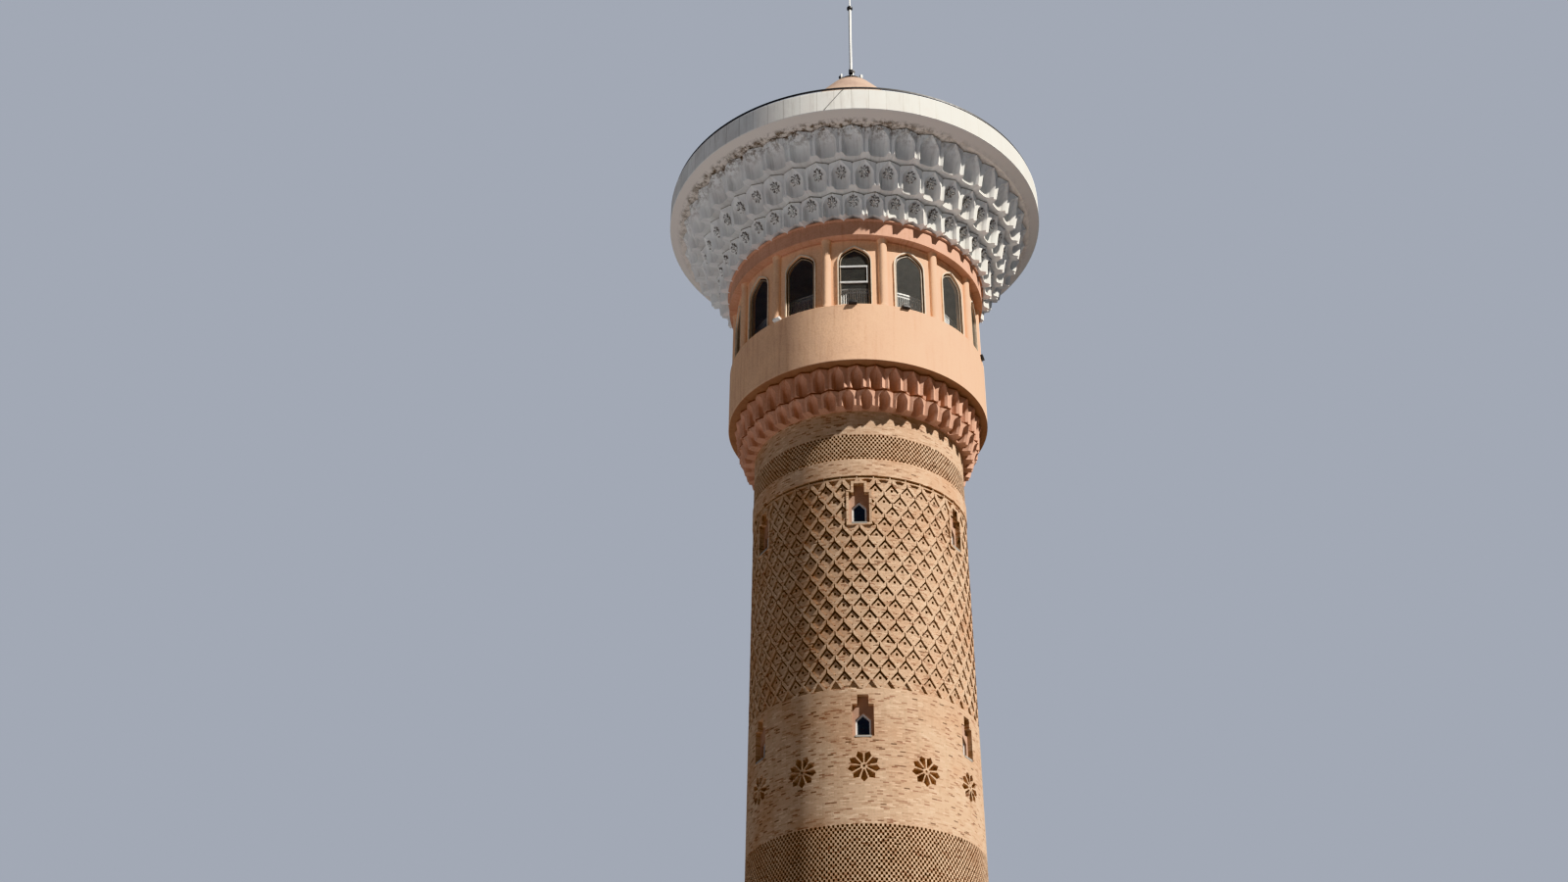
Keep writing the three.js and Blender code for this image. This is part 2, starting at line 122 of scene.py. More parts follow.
# Faces of a diamond, each corner with its level: 0 the ribs, 1 the panel, 2 the bottoms of joints and
# holes. The first are made again on the left, and a minus stands for the left in the others.
DIAMOND_HALVES = [
    "top0 right0 eaves0", "right0 shoulder0 eaves0", "top0 eaves0 chimney0",
    "right0 bottom0 foot0", "right0 foot0 toe0", "right0 toe0 inner0", "right0 inner0 shoulder0",
    "chimney0 eaves0 eaves2 chimney2",
    "eaves0 shoulder0 shoulder2 eaves2",
    "shoulder0 inner0 inner1", "shoulder0 inner1 inner2 shoulder2",
    "eaves2 shoulder2 inner2 peak2",
    "peak2 inner2 inner1 peak1",
    "inner0 toe0 toe1 inner1",
    "toe0 foot0 toe1", "foot0 foot2 toe2 toe1",
    "peak1 inner1 head1",
    "inner1 sill1 head1",
    "inner1 toe1 sill1",
    "head1 sill1 sill2 head2",
]
DIAMOND_MIDDLES = [
    "top0 chimney0 -chimney0",
    "-chimney0 chimney0 chimney2 -chimney2",
    "-chimney2 chimney2 eaves2 -eaves2",
    "-eaves2 eaves2 peak2",
    "peak1 head1 -head1",
    "-toe1 toe1 sill1 -sill1",
    "-toe1 toe1 toe2 -toe2",
    "-toe2 toe2 foot2",
    "-head1 head1 head2 -head2",
    "-sill1 sill1 sill2 -sill2",
    "-head2 head2 sill2 -sill2",
]

# Gallery, crown and roof
NICHES_AROUND = 42
BAYS = 14
PARAPET_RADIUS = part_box("parapet_band")[1].x
GALLERY_WALL = (5.74 * M, 6.02 * M)
GALLERY_SPRING = 54.17 * M
GALLERY_ARCHES = {  # width and apex of each outline in a window
    "surround": (1.64 * M, 55.24 * M),
    "opening": (1.52 * M, 55.13 * M),
    "pane": (1.46 * M, 55.09 * M),
    "sash": (1.4 * M, 55.03 * M),
}
BEAM_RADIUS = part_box("gallery_beam")[1].x
CORBEL_RIDGES = [5.88 * M, 6.08 * M]  # over the niches, at the top of each tier
CORBEL_VALLEYS = [(5.46 * M, 5.66 * M), (5.78 * M, 5.84 * M)]  # between niches, at foot and top
CORBEL_BACKS = [5.15 * M, 5.5 * M]  # backs of the niches, at their feet
CROWN_RADII = [6.57 * M, 7.26 * M, 8.13 * M, 9.08 * M]
CROWN_VALLEYS = [(6.88 * M, 6.93 * M), (7.58 * M, 7.8 * M), (8.45 * M, 8.75 * M)]
CROWN_BACKS = [6.64 * M, 7.3 * M, 8.18 * M]
CROWN_WALL = 0.55 * M
CROWN_DROP = 0.28 * M  # how far the crown's valleys hang below its foot
NICHE_APEX = 0.86  # share of a tier's height
NICHE_BROW = 0.17 * M  # how far behind the ridge a niche's back ends
NICHE_SCOOP = 2.4  # the greater, the longer a niche's back stays upright
NICHE_CREASE = 24  # degrees from which an edge of the niches is sharp
CORBEL_NICHE = (0.5, 0.68)  # half widths of a niche and of its splayed edge, in shares of half a cell
CROWN_NICHE = (0.68, 0.81)
CARVING_LEVEL = 0.62  # share of a tier's height
CARVING_SEED = 7
RIM_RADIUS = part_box("crown_rim")[1].x
RIM_WALL = 0.22 * M
SOFFIT = 60.7 * M
LANTERN_RADIUS = 5 * M
EAVES_RADIUS = LANTERN_RADIUS + 0.15 * M
CAP_RADIUS = 0.72 * M

# Pointed arches
ARCH_STEPS = 12
ARCH_FULLNESS = 2.7  # the greater, the longer an arch's sides stay upright

# Distances from the axis at which cutters end, outside what they cut
CLEAR_OF_SHAFT = 6 * M
CLEAR_OF_FOOT = 7 * M


def shaft_radius(height):
    return FOOT_RADIUS - TAPER * height


# Meshes

def flat_sheet(columns, rows, bottom, top):
    """A grid facing -Y, as long as the foot of the shaft is round."""
    bm = bmesh.new()
    bmesh.ops.create_grid(bm, x_segments=columns, y_segments=rows, size=0.5)
    scaled(bm, TURN * FOOT_RADIUS, top - bottom, 1)
    turned(bm, TURN / 4, "X")
    return moved(bm, 0, 0, (bottom + top) / 2)


def bend(bm, radius=FOOT_RADIUS, sunk=0.0):
    """Wraps flat work round the shaft: X becomes the way round at that radius, and what lies before
    Y = 0 stands out. sunk is how deep Y = 0 lies in the wall."""
    for vert in bm.verts:
        azimuth = vert.co.x / radius
        reach = shaft_radius(vert.co.z) - sunk - vert.co.y
        vert.co.x = reach * math.sin(azimuth)
        vert.co.y = -reach * math.cos(azimuth)
    bmesh.ops.remove_doubles(bm, verts=bm.verts, dist=1e-6)
    return bm


def shaft_sheet(columns, rows, bottom, top):
    """A round sheet on the face of the shaft, open at both ends."""
    return bend(flat_sheet(columns, rows, bottom, top))


def open_edges(bm):
    return [edge for edge in bm.edges if edge.is_boundary]


def close_wall(bm, inside=(SHAFT_INSIDE, SHAFT_INSIDE)):
    """Turns the lower and upper end of a round sheet in to the inner radii and joins them behind it."""
    made = bmesh.ops.extrude_edge_only(bm, edges=open_edges(bm))["geom"]
    middle = sum(vert.co.z for vert in bm.verts) / len(bm.verts)
    for vert in made:
        if isinstance(vert, bmesh.types.BMVert):
            reach = inside[0] if vert.co.z < middle else inside[1]
            vert.co.xy *= reach / vert.co.xy.length
    bmesh.ops.bridge_loops(bm, edges=open_edges(bm))


def revolved(profile, steps=FINE, bm=None):
    """A closed round body from [radius, height] points, which close on themselves or end on the axis."""
    bm = bm or bmesh.new()
    verts = [bm.verts.new((0, -radius, height)) for radius, height in profile]
    pairs = list(zip(verts, verts[1:]))
    if profile[0][0] > 0:
        pairs.append((verts[-1], verts[0]))
    edges = [bm.edges.new(pair) for pair in pairs]
    bmesh.ops.spin(bm, geom=verts + edges, cent=(0, 0, 0), axis=(0, 0, 1), angle=TURN, steps=steps,
                   use_merge=True)
    bmesh.ops.remove_doubles(bm, verts=bm.verts, dist=1e-7)
    return bm


def ring(inner, outer, bottom, top, steps=FINE, bm=None):
    return revolved([(inner, bottom), (outer, bottom), (outer, top), (inner, top)], steps, bm)


def slab(bm, outline, near, far):
    """A closed slab with that outline in X and Z, between two distances from the axis, facing -Y.
    Gives its back and front faces."""
    face = bm.faces.new([bm.verts.new((x, -near, z)) for x, z in outline])
    made = bmesh.ops.extrude_face_region(bm, geom=[face])["geom"]
    moved = [vert for vert in made if isinstance(vert, bmesh.types.BMVert)]
    bmesh.ops.translate(bm, vec=(0, near - far, 0), verts=moved)
    front = next(item for item in made if isinstance(item, bmesh.types.BMFace))
    return face, front


def box_outline(left, right, bottom, top):
    return [(left, bottom), (right, bottom), (right, top), (left, top)]


def prism(bm, outline, near, far):
    slab(bm, outline, near, far)
    return bm


def frame_of(bm, outline, width, near, far):
    """A closed flat frame inside that outline."""
    middles = list(slab(bm, outline, near, far))
    bmesh.ops.recalc_face_normals(bm, faces=bm.faces)
    bmesh.ops.inset_individual(bm, faces=middles, thickness=width, use_even_offset=True)
    edges = [edge for face in middles for edge in face.edges]
    bmesh.ops.delete(bm, geom=middles, context="FACES_ONLY")
    bmesh.ops.bridge_loops(bm, edges=edges)
    return bm


def turned(bm, angle, axis="Z"):
    bmesh.ops.rotate(bm, cent=(0, 0, 0), matrix=Matrix.Rotation(angle, 3, axis), verts=bm.verts)
    return bm


def moved(bm, *way):
    bmesh.ops.translate(bm, vec=way, verts=bm.verts)
    return bm


def scaled(bm, *factors):
    bmesh.ops.scale(bm, vec=factors, verts=bm.verts)
    return bm


def thin_post(radius, length):
    """A six-sided post about the origin."""
    bm = bmesh.new()
    bmesh.ops.create_cone(bm, cap_ends=True, segments=6, radius1=radius, radius2=radius, depth=length)
    return bm


def soft_box(size, edge):
    """A box about the origin with bevelled edges."""
    bm = bmesh.new()
    bmesh.ops.create_cube(bm, size=1)
    scaled(bm, *size)
    bmesh.ops.bevel(bm, geom=list(bm.edges), offset=edge, affect="EDGES", segments=2, profile=0.5,
                    material=-1)
    return bm


def copies_round(bm, count):
    """Copies what is in bm round the axis, to count pieces in all."""
    geom = list(bm.verts) + list(bm.edges) + list(bm.faces)
    bmesh.ops.spin(bm, geom=geom, cent=(0, 0, 0), axis=(0, 0, 1), angle=TURN * (count - 1) / count,
                   steps=count - 1, use_duplicate=True)
    return bm


def joined(bm, other):
    """Adds the other mesh's work to bm."""
    mesh = bpy.data.meshes.new("work")
    other.to_mesh(mesh)
    other.free()
    bm.from_mesh(mesh)
    bpy.data.meshes.remove(mesh)
    return bm


def pointed_arch(width, spring, apex, sill):
    """The outline of an opening under a pointed arch, from its lower left corner."""
    half = width / 2
    shares = [i / ARCH_STEPS for i in range(ARCH_STEPS + 1)]
    right = [(half * (1 - share ** ARCH_FULLNESS), spring + (apex - spring) * share) for share in shares]
    left = [(-x, z) for x, z in reversed(right[:-1])]
    return [(-half, sill), (half, sill)] + right + left


def to_object(bm, name):
    mesh = bpy.data.meshes.new(name)
    bm.to_mesh(mesh)
    bm.free()
    made = bpy.data.objects.new(name, mesh)
    bpy.context.scene.collection.objects.link(made)
    return made


def carve(wall, cutter_mesh):
    """Cuts closed cutters, which don't overlap, out of a wall."""
    bmesh.ops.recalc_face_normals(cutter_mesh, faces=cutter_mesh.faces)
    cutter = to_object(cutter_mesh, "cutter")
    cut = wall.modifiers.new("openings", "BOOLEAN")
    cut.operation = "DIFFERENCE"
    cut.solver = "MANIFOLD"
    cut.object = cutter
    shown = wall.evaluated_get(bpy.context.evaluated_depsgraph_get())
    carved = bpy.data.meshes.new_from_object(shown)
    wall.modifiers.clear()
    whole = wall.data
    wall.data = carved
    bpy.data.meshes.remove(whole)
    cutter_data = cutter.data
    bpy.data.objects.remove(cutter)
    bpy.data.meshes.remove(cutter_data)


def add_piece(name, bm, material, nodes, cutters=(), crease=32):
    """Finishes a closed mesh as a piece that rides on the body and stands for the CAD nodes."""
    bmesh.ops.recalc_face_normals(bm, faces=bm.faces)
    piece = to_object(bm, name)
    for cutter in cutters:
        carve(piece, cutter)
    bm = bmesh.new()
    bm.from_mesh(piece.data)
    bmesh.ops.remove_doubles(bm, verts=bm.verts, dist=1e-6)
    limit = math.radians(crease)
    for edge in bm.edges:
        edge.smooth = edge.is_manifold and edge.calc_face_angle(math.pi) < limit
    for face in bm.faces:
        face.smooth = True
    bm.to_mesh(piece.data)
    bm.free()
    piece.data.name = name
    piece.data.materials.clear()
    piece.data.materials.append(material)
    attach(piece, "root")
    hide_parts(*nodes)


def add_wall(name, sheet, work, nodes, cutters=()):
    """Makes a round sheet of the shaft a wall of brick."""
    close_wall(sheet)
    add_piece(name, sheet, work.bricks, nodes, cutters)


# Finishes

DAMP_LEFT = 0.45  # how far to the left of the front most damp is, in radians


class Finish:
    """A material, with short calls that add its nodes and join them to the shader."""

    def __init__(self, name, roughness, metallic=0.0):
        self.material = bpy.data.materials.new(name)
        self.material.use_nodes = True
        self.tree = self.material.node_tree
        self.shader = self.tree.nodes["Principled BSDF"]
        self.shader.inputs["Roughness"].default_value = roughness
        self.shader.inputs["Metallic"].default_value = metallic
        self.place = self.node("ShaderNodeTexCoord").outputs["Object"]
        self.parts = self.node("ShaderNodeSeparateXYZ", Vector=self.place)

    def node(self, kind, settings=None, **inputs):
        made = self.tree.nodes.new(kind)
        for key, value in (settings or {}).items():
            setattr(made, key, value)
        for key, value in inputs.items():
            self.put(made.inputs[key.replace("_", " ")], value)
        return made

    def put(self, socket, value):
        if isinstance(value, bpy.types.NodeSocket):
            self.tree.links.new(value, socket)
        else:
            socket.default_value = value

    def math(self, operation, first, second=0.0):
        made = self.node("ShaderNodeMath", {"operation": operation})
        self.put(made.inputs[0], first)
        self.put(made.inputs[1], second)
        return made.outputs[0]

    def added(self, first, second, times):
        return self.math("ADD", first, self.math("MULTIPLY", second, times))

    def blend(self, share, first, second, mode="MIX"):
        made = self.node("ShaderNodeMix", {"data_type": "RGBA", "blend_type": mode})
        self.put(made.inputs[0], share)
        self.put(made.inputs[6], first)
        self.put(made.inputs[7], second)
        return made.outputs[2]

    def noise(self, scale, detail=4.0, roughness=0.6, vector=None):
        made = self.node("ShaderNodeTexNoise", Scale=scale, Detail=detail, Roughness=roughness,
                         Vector=vector or self.place)
        return made.outputs["Fac"]

    def ramp(self, value, stops):
        made = self.node("ShaderNodeValToRGB")
        elements = made.color_ramp.elements
        while len(elements) < len(stops):
            elements.new(0.5)
        for element, (position, colour) in zip(elements, stops):
            element.position = position
            element.color = colour
        self.put(made.inputs[0], value)
        return made.outputs["Color"]

    def mask(self, value, start, end):
        """0 below start, 1 above end, or the other way round where start is the greater."""
        made = self.node("ShaderNodeMapRange", Value=value, From_Min=start, From_Max=end)
        return made.outputs[0]

    def shade(self, tone, value, start, end, tint):
        """Multiplies a tone by a tint, the more the nearer the value is to end."""
        return self.blend(self.mask(value, start, end), tone, (*tint, 1), "MULTIPLY")

    def azimuth(self):
        behind = self.math("MULTIPLY", self.parts.outputs["Y"], -1)
        return self.math("ARCTAN2", self.parts.outputs["X"], behind)

    def height(self):
        return self.parts.outputs["Z"]

    def streaks(self, across, along):
        """Noise drawn out downwards, on the unrolled wall."""
        wall = self.node("ShaderNodeCombineXYZ", X=self.math("MULTIPLY", self.azimuth(), across),
                         Y=self.math("MULTIPLY", self.height(), along))
        return self.noise(1, 5, 0.65, wall.outputs[0])

    def paint_recess_shade(self, tone, shade_tint):
        """Paints shade into recesses: darkens the tone by the tint where the mesh's shade attribute marks
        them.
        """
        painted_shade = self.node("ShaderNodeAttribute", {"attribute_name": "painted_shade"}).outputs["Fac"]
        return self.blend(painted_shade, tone, shade_tint, "MULTIPLY")

    def bump(self, height, distance):
        made = self.node("ShaderNodeBump", Height=height, Distance=distance, Strength=1.0)
        self.tree.links.new(made.outputs["Normal"], self.shader.inputs["Normal"])

    def colour(self, value):
        self.put(self.shader.inputs["Base Color"], value)

    def rough(self, value, smooth, rough):
        made = self.node("ShaderNodeMapRange", Value=value, To_Min=smooth, To_Max=rough)
        self.put(self.shader.inputs["Roughness"], made.outputs[0])


def brickwork(settings, name="brickwork", lightness=1.0):
    """Buff bricks with darker and redder ones among them, in courses round the tower."""
    finish = Finish(name, 0.9)
    around = settings.bricks_around * settings.brick_length / TURN
    along = finish.math("MULTIPLY", finish.azimuth(), around)
    wall = finish.node("ShaderNodeCombineXYZ", X=along, Y=finish.height())
    bricks = finish.node("ShaderNodeTexBrick", Vector=wall.outputs[0], Scale=1, Color1=(0, 0, 0, 1),
                         Color2=(1, 1, 1, 1), Mortar=(0.5, 0.5, 0.5, 1), Mortar_Size=settings.joint / 2,
                         Mortar_Smooth=0.3, Brick_Width=settings.brick_length,
                         Row_Height=settings.course)
    tone = finish.ramp(bricks.outputs["Color"], [
        (0.0, settings.burnt), (0.03, settings.red), (0.1, settings.tan), (0.3, settings.buff),
        (0.8, settings.buff), (1.0, settings.pale)])
    grain = finish.noise(90, 4, 0.7)
    tone = finish.blend(finish.mask(grain, 0.58, 0.85), tone, settings.burnt)
    tone = finish.blend(bricks.outputs["Fac"], tone, settings.mortar)
    patches = finish.noise(5, 4, 0.55)
    tone = finish.shade(tone, patches, 0.45, 0.85, (0.82, 0.68, 0.6))
    washed = finish.streaks(16, 2.2)
    tone = finish.shade(tone, washed, 0.5, 0.95, (0.8, 0.78, 0.75))
    tone = finish.blend(1.0, tone, (lightness, lightness, lightness, 1), "MULTIPLY")
    # Painted shade: the tint darkens the recesses that the mesh marks.
    finish.colour(finish.paint_recess_shade(tone, (0.32, 0.27, 0.25, 1)))
    finish.rough(grain, 0.82, 0.98)
    joints = finish.math("MULTIPLY", bricks.outputs["Fac"], -1)
    finish.bump(finish.added(joints, grain, 0.6), 0.0006)
    return finish.material


def peach_plaster(name, paint, worn):
    """Painted render, blotched and washed down by rain."""
    finish = Finish(name, 0.85)
    blotches = finish.noise(7, 5, 0.6)
    tone = finish.blend(finish.mask(blotches, 0.35, 0.7), paint, worn)
    washed = finish.streaks(34, 3)
    tone = finish.shade(tone, washed, 0.5, 0.8, (0.8, 0.73, 0.71))
    grain = finish.noise(110, 4, 0.7)
    tone = finish.shade(tone, grain, 0.45, 0.8, (0.83, 0.78, 0.74))
    # Painted shade: the tint darkens the hollows, grooves and underside that the mesh marks.
    finish.colour(finish.paint_recess_shade(tone, (0.32, 0.24, 0.22, 1)))
    finish.rough(blotches, 0.75, 0.95)
    finish.bump(finish.added(grain, blotches, 2), 0.0009)
    return finish.material


def upright_joints(finish, around):
    """Gives where the wall stands in turns of one panel, and a mask of the joints between panels."""
    turns = finish.math("MULTIPLY", finish.azimuth(), around / TURN)
    beside = finish.math("ABSOLUTE", finish.math("SUBTRACT", finish.math("FRACT", turns), 0.5))
    return turns, finish.mask(beside, 0.485, 0.495)


def panelled(finish, tone, panels):
    """Upright joints between panels of slightly different whites."""
    turns, joint = upright_joints(finish, panels)
    shade = finish.node("ShaderNodeTexWhiteNoise", {"noise_dimensions": "1D"},
                        W=finish.math("FLOOR", turns)).outputs["Value"]
    tone = finish.shade(tone, shade, 0.0, 1.6, (0.8, 0.8, 0.8))
    return finish.blend(joint, tone, (0.55, 0.54, 0.52, 1), "MULTIPLY")


def white_plaster(settings, name, fascia_panels=0):
    """White paint gone grey, with soot in streaks and brown damp where niches and rim meet."""
    finish = Finish(name, 0.8)
    clouds = finish.noise(9, 5, 0.6)
    tone = finish.blend(finish.mask(clouds, 0.35, 0.75), settings.white, settings.white_worn)
    washed = finish.streaks(44, 4)
    tone = finish.shade(tone, washed, 0.5, 0.82, (0.74, 0.73, 0.71))
    damp = finish.mask(finish.noise(34, 7, 0.78), 0.46, 0.58)
    beside = finish.math("ABSOLUTE", finish.math("ADD", finish.azimuth(), DAMP_LEFT))
    damp = finish.math("MULTIPLY", damp, finish.math("MAXIMUM", finish.mask(beside, 1.3, 0.6), 0.2))
    if fascia_panels:
        tone = panelled(finish, tone, fascia_panels)
        # Painted bounce light: the rim's underside gets a warmer tone, as if lit warm from below.
        soffit = finish.mask(finish.height(), SOFFIT + 0.02 * M, SOFFIT - 0.01 * M)
        tone = finish.blend(soffit, tone, settings.soffit)
        near = finish.mask(finish.height(), CROWN_LEVELS[3] + 0.12 * M, CROWN_LEVELS[3])
    else:
        near = finish.mask(finish.height(), CROWN_LEVELS[3] - 0.75 * M, CROWN_LEVELS[3] - 0.1 * M)
    tone = finish.blend(finish.math("MULTIPLY", damp, near), tone, settings.damp)
    # Painted shade: the tint darkens the hollows and grooves that the mesh marks.
    finish.colour(finish.paint_recess_shade(tone, (0.42, 0.4, 0.37, 1)))
    grain = finish.noise(140, 3, 0.6)
    finish.rough(clouds, 0.7, 0.9)
    finish.bump(finish.added(grain, clouds, 2), 0.0004)
    return finish.material


def stonework(name, pale, dark, joints_around=0):
    """Dressed stone or concrete, with upright joints where joints_around is given."""
    finish = Finish(name, 0.85)
    clouds = finish.noise(11, 6, 0.65)
    tone = finish.blend(finish.mask(clouds, 0.3, 0.75), pale, dark)
    grain = finish.noise(190, 3, 0.6)
    tone = finish.shade(tone, grain, 0.5, 0.9, (0.7, 0.7, 0.7))
    relief = grain
    if joints_around:
        joint = upright_joints(finish, joints_around)[1]
        tone = finish.blend(finish.math("MULTIPLY", joint, 0.6), tone, (0.2, 0.19, 0.17, 1))
        relief = finish.math("SUBTRACT", grain, finish.math("MULTIPLY", joint, 3))
    finish.colour(tone)
    finish.rough(clouds, 0.75, 0.93)
    finish.bump(relief, 0.0004)
    return finish.material


def painted_metal(name, paint, roughness=0.4, metallic=0.2):
    """Paint with faint clouds and small scuffs."""
    finish = Finish(name, roughness, metallic)
    clouds = finish.noise(60, 4, 0.6)
    worn = tuple(channel * 0.72 for channel in paint[:3]) + (1,)
    finish.colour(finish.blend(finish.mask(clouds, 0.45, 0.8), paint, worn))
    finish.rough(clouds, roughness - 0.1, roughness + 0.2)
    finish.bump(finish.noise(500, 2, 0.5), 0.00005)
    return finish.material


def window_glass(name, tint, dusty, see_through):
    """Dark glass with clouds and specks of dust on it."""
    finish = Finish(name, 0.08)
    dust = finish.noise(110, 5, 0.7)
    tone = finish.blend(finish.mask(dust, 0.5, 0.85), tint, dusty)
    specks = finish.noise(240, 2, 0.5)
    finish.colour(finish.blend(finish.mask(specks, 0.7, 0.74), tone, (0.7, 0.72, 0.7, 1)))
    finish.rough(dust, 0.04, 0.12)
    finish.shader.inputs["Alpha"].default_value = 1 - see_through
    finish.shader.inputs["Specular IOR Level"].default_value = 0.6
    return finish.material


# Settings

def length(name, default, description):
    return FloatProperty(name=name, default=default, min=0, unit="LENGTH", precision=5,
                         description=description)


def colour(name, default, description):
    return FloatVectorProperty(name=name, default=default, size=4, min=0, max=1, subtype="COLOR",
                               description=description)


def angle(name, degrees, description):
    return FloatProperty(name=name, default=math.radians(degrees), subtype="ANGLE",
                         description=description)


def strength(name, default, description):
    return FloatProperty(name=name, default=default, min=0, description=description)


class MINARET_PG_brickwork(bpy.types.PropertyGroup):
    """Sizes and colours of the brick shaft."""

    bricks_around: IntProperty(name="Bricks around", default=128, min=3,
                               description="Stretchers in one course of the shaft")
    brick_length: length("Brick length", 0.25 * M, "A stretcher with its joint")
    course: length("Course height", 0.0625 * M, "A brick's height with its joint")
    joint: length("Joint", 0.008 * M, "Thickness of the mortar")
    rib: length("Rib width", 0.14 * M, "Width of the ribs between the diamonds")
    panel_depth: length("Panel depth", 0.052 * M, "How far the diamonds are set back")
    roof_joint: length("Roof joint", 0.07 * M, "Width of the joint over a diamond's panel")
    roof_depth: length("Roof joint depth", 0.16 * M, "How far that joint and the holes go in")
    pit_depth: length("Pit depth", 0.13 * M, "How far the holes of the dotted bands go in")
    petal_depth: length("Petal depth", 0.26 * M, "How far the rosettes are cut in")
    pale: colour("Pale brick", (0.77, 0.57, 0.41, 1), "Lightest bricks")
    buff: colour("Buff brick", (0.63, 0.44, 0.305, 1), "Most bricks")
    tan: colour("Tan brick", (0.5, 0.32, 0.21, 1), "Darker bricks")
    red: colour("Red brick", (0.36, 0.19, 0.12, 1), "Reddish bricks")
    burnt: colour("Burnt brick", (0.17, 0.1, 0.06, 1), "Darkest bricks and their flecks")
    mortar: colour("Mortar", (0.55, 0.42, 0.31, 1), "Joints")


class MINARET_PG_plaster(bpy.types.PropertyGroup):
    """Sizes and colours of the plaster work."""

    splay: length("Splay", 0.12 * M, "How far the edges of the niches are cut back")
    valley: length("Valley", 0.08 * M, "Depth of the fold between two niches")
    groove: length("Groove", 0.09 * M, "Height and depth of the joint under a tier")
    peach: colour("Peach", (0.92, 0.61, 0.41, 1), "Plaster of the parapet and the pilasters")
    peach_worn: colour("Worn peach", (0.84, 0.55, 0.38, 1), "Blotches in it")
    # A darker copy of the peach for the corbel's niches and the beam: in part a dirtier paint, in part
    # painted shade that keeps their shaded sides dark.
    dirty_and_shaded_peach: colour("Deep peach", (0.71, 0.425, 0.31, 1), "Plaster of the niches, walls and beam")
    dirty_and_shaded_peach_worn: colour("Worn deep peach", (0.61, 0.36, 0.26, 1), "Blotches in it")
    cap: colour("Cap", (0.51, 0.38, 0.3, 1), "Plaster of the conical roof")
    cap_worn: colour("Worn cap", (0.39, 0.28, 0.23, 1), "Blotches in it")
    white: colour("White", (0.93, 0.935, 0.9, 1), "Paint of the crown")
    white_worn: colour("Worn white", (0.85, 0.82, 0.785, 1), "Clouds in it")
    # Painted bounce light: a warmer white for the rim's underside, as if lit warm from below.
    soffit: colour("Soffit", (0.92, 0.84, 0.75, 1), "Underside of the rim")
    damp: colour("Damp", (0.24, 0.19, 0.145, 1), "Stains under the rim")


class MINARET_PG_stage(bpy.types.PropertyGroup):
    """Camera, light and floor."""

    distance: length("Distance", 7.26, "From the tower's axis to the camera")
    eye_height: length("Eye height", 0.16, "Of the camera above the ground")
    lens: FloatProperty(name="Lens", default=40.51, min=1, unit="CAMERA", description="Focal length")
    heading: angle("Heading", 2.844, "Turn of the camera to the left of the tower")
    pitch: angle("Pitch", 32.552, "How far the camera looks up")
    roll: angle("Roll", 0.442, "Turn of the camera about its own line of sight")
    sun_azimuth: angle("Key azimuth", 59.5, "Of the key light, from the camera's side towards +X")
    sun_height: angle("Key height", 46.5, "Of the key light above the horizon")
    sun_strength: strength("Key strength", 6.8, "Of the key light")
    bounce_strength: strength("Bounce strength", 0.68,
                              "Of the soft light from the ground before the tower")
    sky_strength: strength("Fill strength", 0.14, "Of the light from all round")
    backdrop_strength: strength("Backdrop strength", 0.5, "Of the backdrop as the camera sees it")
    backdrop: colour("Backdrop", (0.8, 0.87, 1, 1), "Round the object")
    floor: colour("Floor", (0.72, 0.71, 0.68, 1), "Under the object")


# Foot

def build_foot(work):
    steps = 3
    rise = PLINTH_TOP / steps
    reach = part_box("plinth")[1].x
    tread = 0.3 * M
    edge = 0.02 * M
    profile = [(0, 0)]
    for step in range(steps):
        outer = reach - tread * step
        foot = rise * step
        profile += [(outer, foot), (outer, foot + rise - edge), (outer - edge, foot + rise)]
    profile.append((0, PLINTH_TOP))
    stone = stonework("step_stone", (0.5, 0.46, 0.4, 1), (0.33, 0.3, 0.26, 1), joints_around=48)
    add_piece("steps", revolved(profile), stone, ["plinth"])

    portals = 6
    springing = 3.7 * M
    nodes = [f"base_wall_{i + 1}" for i in range(portals)]
    portal = pointed_arch(3 * M, springing, 5.65 * M, PLINTH_TOP)
    back = shaft_radius(FOOT_TOP) - 0.25 * M
    recesses = copies_round(prism(bmesh.new(), portal, back, CLEAR_OF_FOOT), portals)
    doorway = pointed_arch(1.8 * M, 2.5 * M, 3.6 * M, PLINTH_TOP - 0.1 * M)
    doorways = copies_round(prism(bmesh.new(), doorway, 3 * M, CLEAR_OF_FOOT), 2)
    add_wall("foot_wall", shaft_sheet(FINE, 12, PLINTH_TOP, FOOT_TOP), work, nodes, [recesses, doorways])

    outer_arch = pointed_arch(3.5 * M, springing, 5.95 * M, PLINTH_TOP)
    surround = frame_of(bmesh.new(), outer_arch, 0.26 * M, 0, 0.07 * M)
    bend(surround, shaft_radius(3 * M), 0.01 * M)
    add_piece("portal_surrounds", copies_round(surround, portals), work.pale_bricks, nodes)

    band = ring(SHAFT_INSIDE + 0.2 * M, shaft_radius(FOOT_TOP) + 0.06 * M, FOOT_TOP - 0.16 * M,
                FOOT_TOP)
    add_piece("foot_band", band, work.pale_bricks, nodes)


# Shaft

def stepped_outline(sill, scale, grow=0.0):
    """A window's recess: a box with a narrower box on top."""
    half = 0.45 * M + grow
    top = sill + 1.55 * M * scale + grow
    notch = 0.235 * M + grow
    notch_top = sill + 2.01 * M * scale + grow
    foot = sill - grow
    return [(-half, foot), (half, foot), (half, top), (notch, top), (notch, notch_top),
            (-notch, notch_top), (-notch, top), (-half, top)]


def window_cutters(row):
    """Cutters for the recesses of a row of windows, right through the wall."""
    recess = stepped_outline(SILLS[row], SILL_SCALES[row])
    return copies_round(prism(bmesh.new(), recess, 3.8 * M, CLEAR_OF_SHAFT), WINDOWS_AROUND)


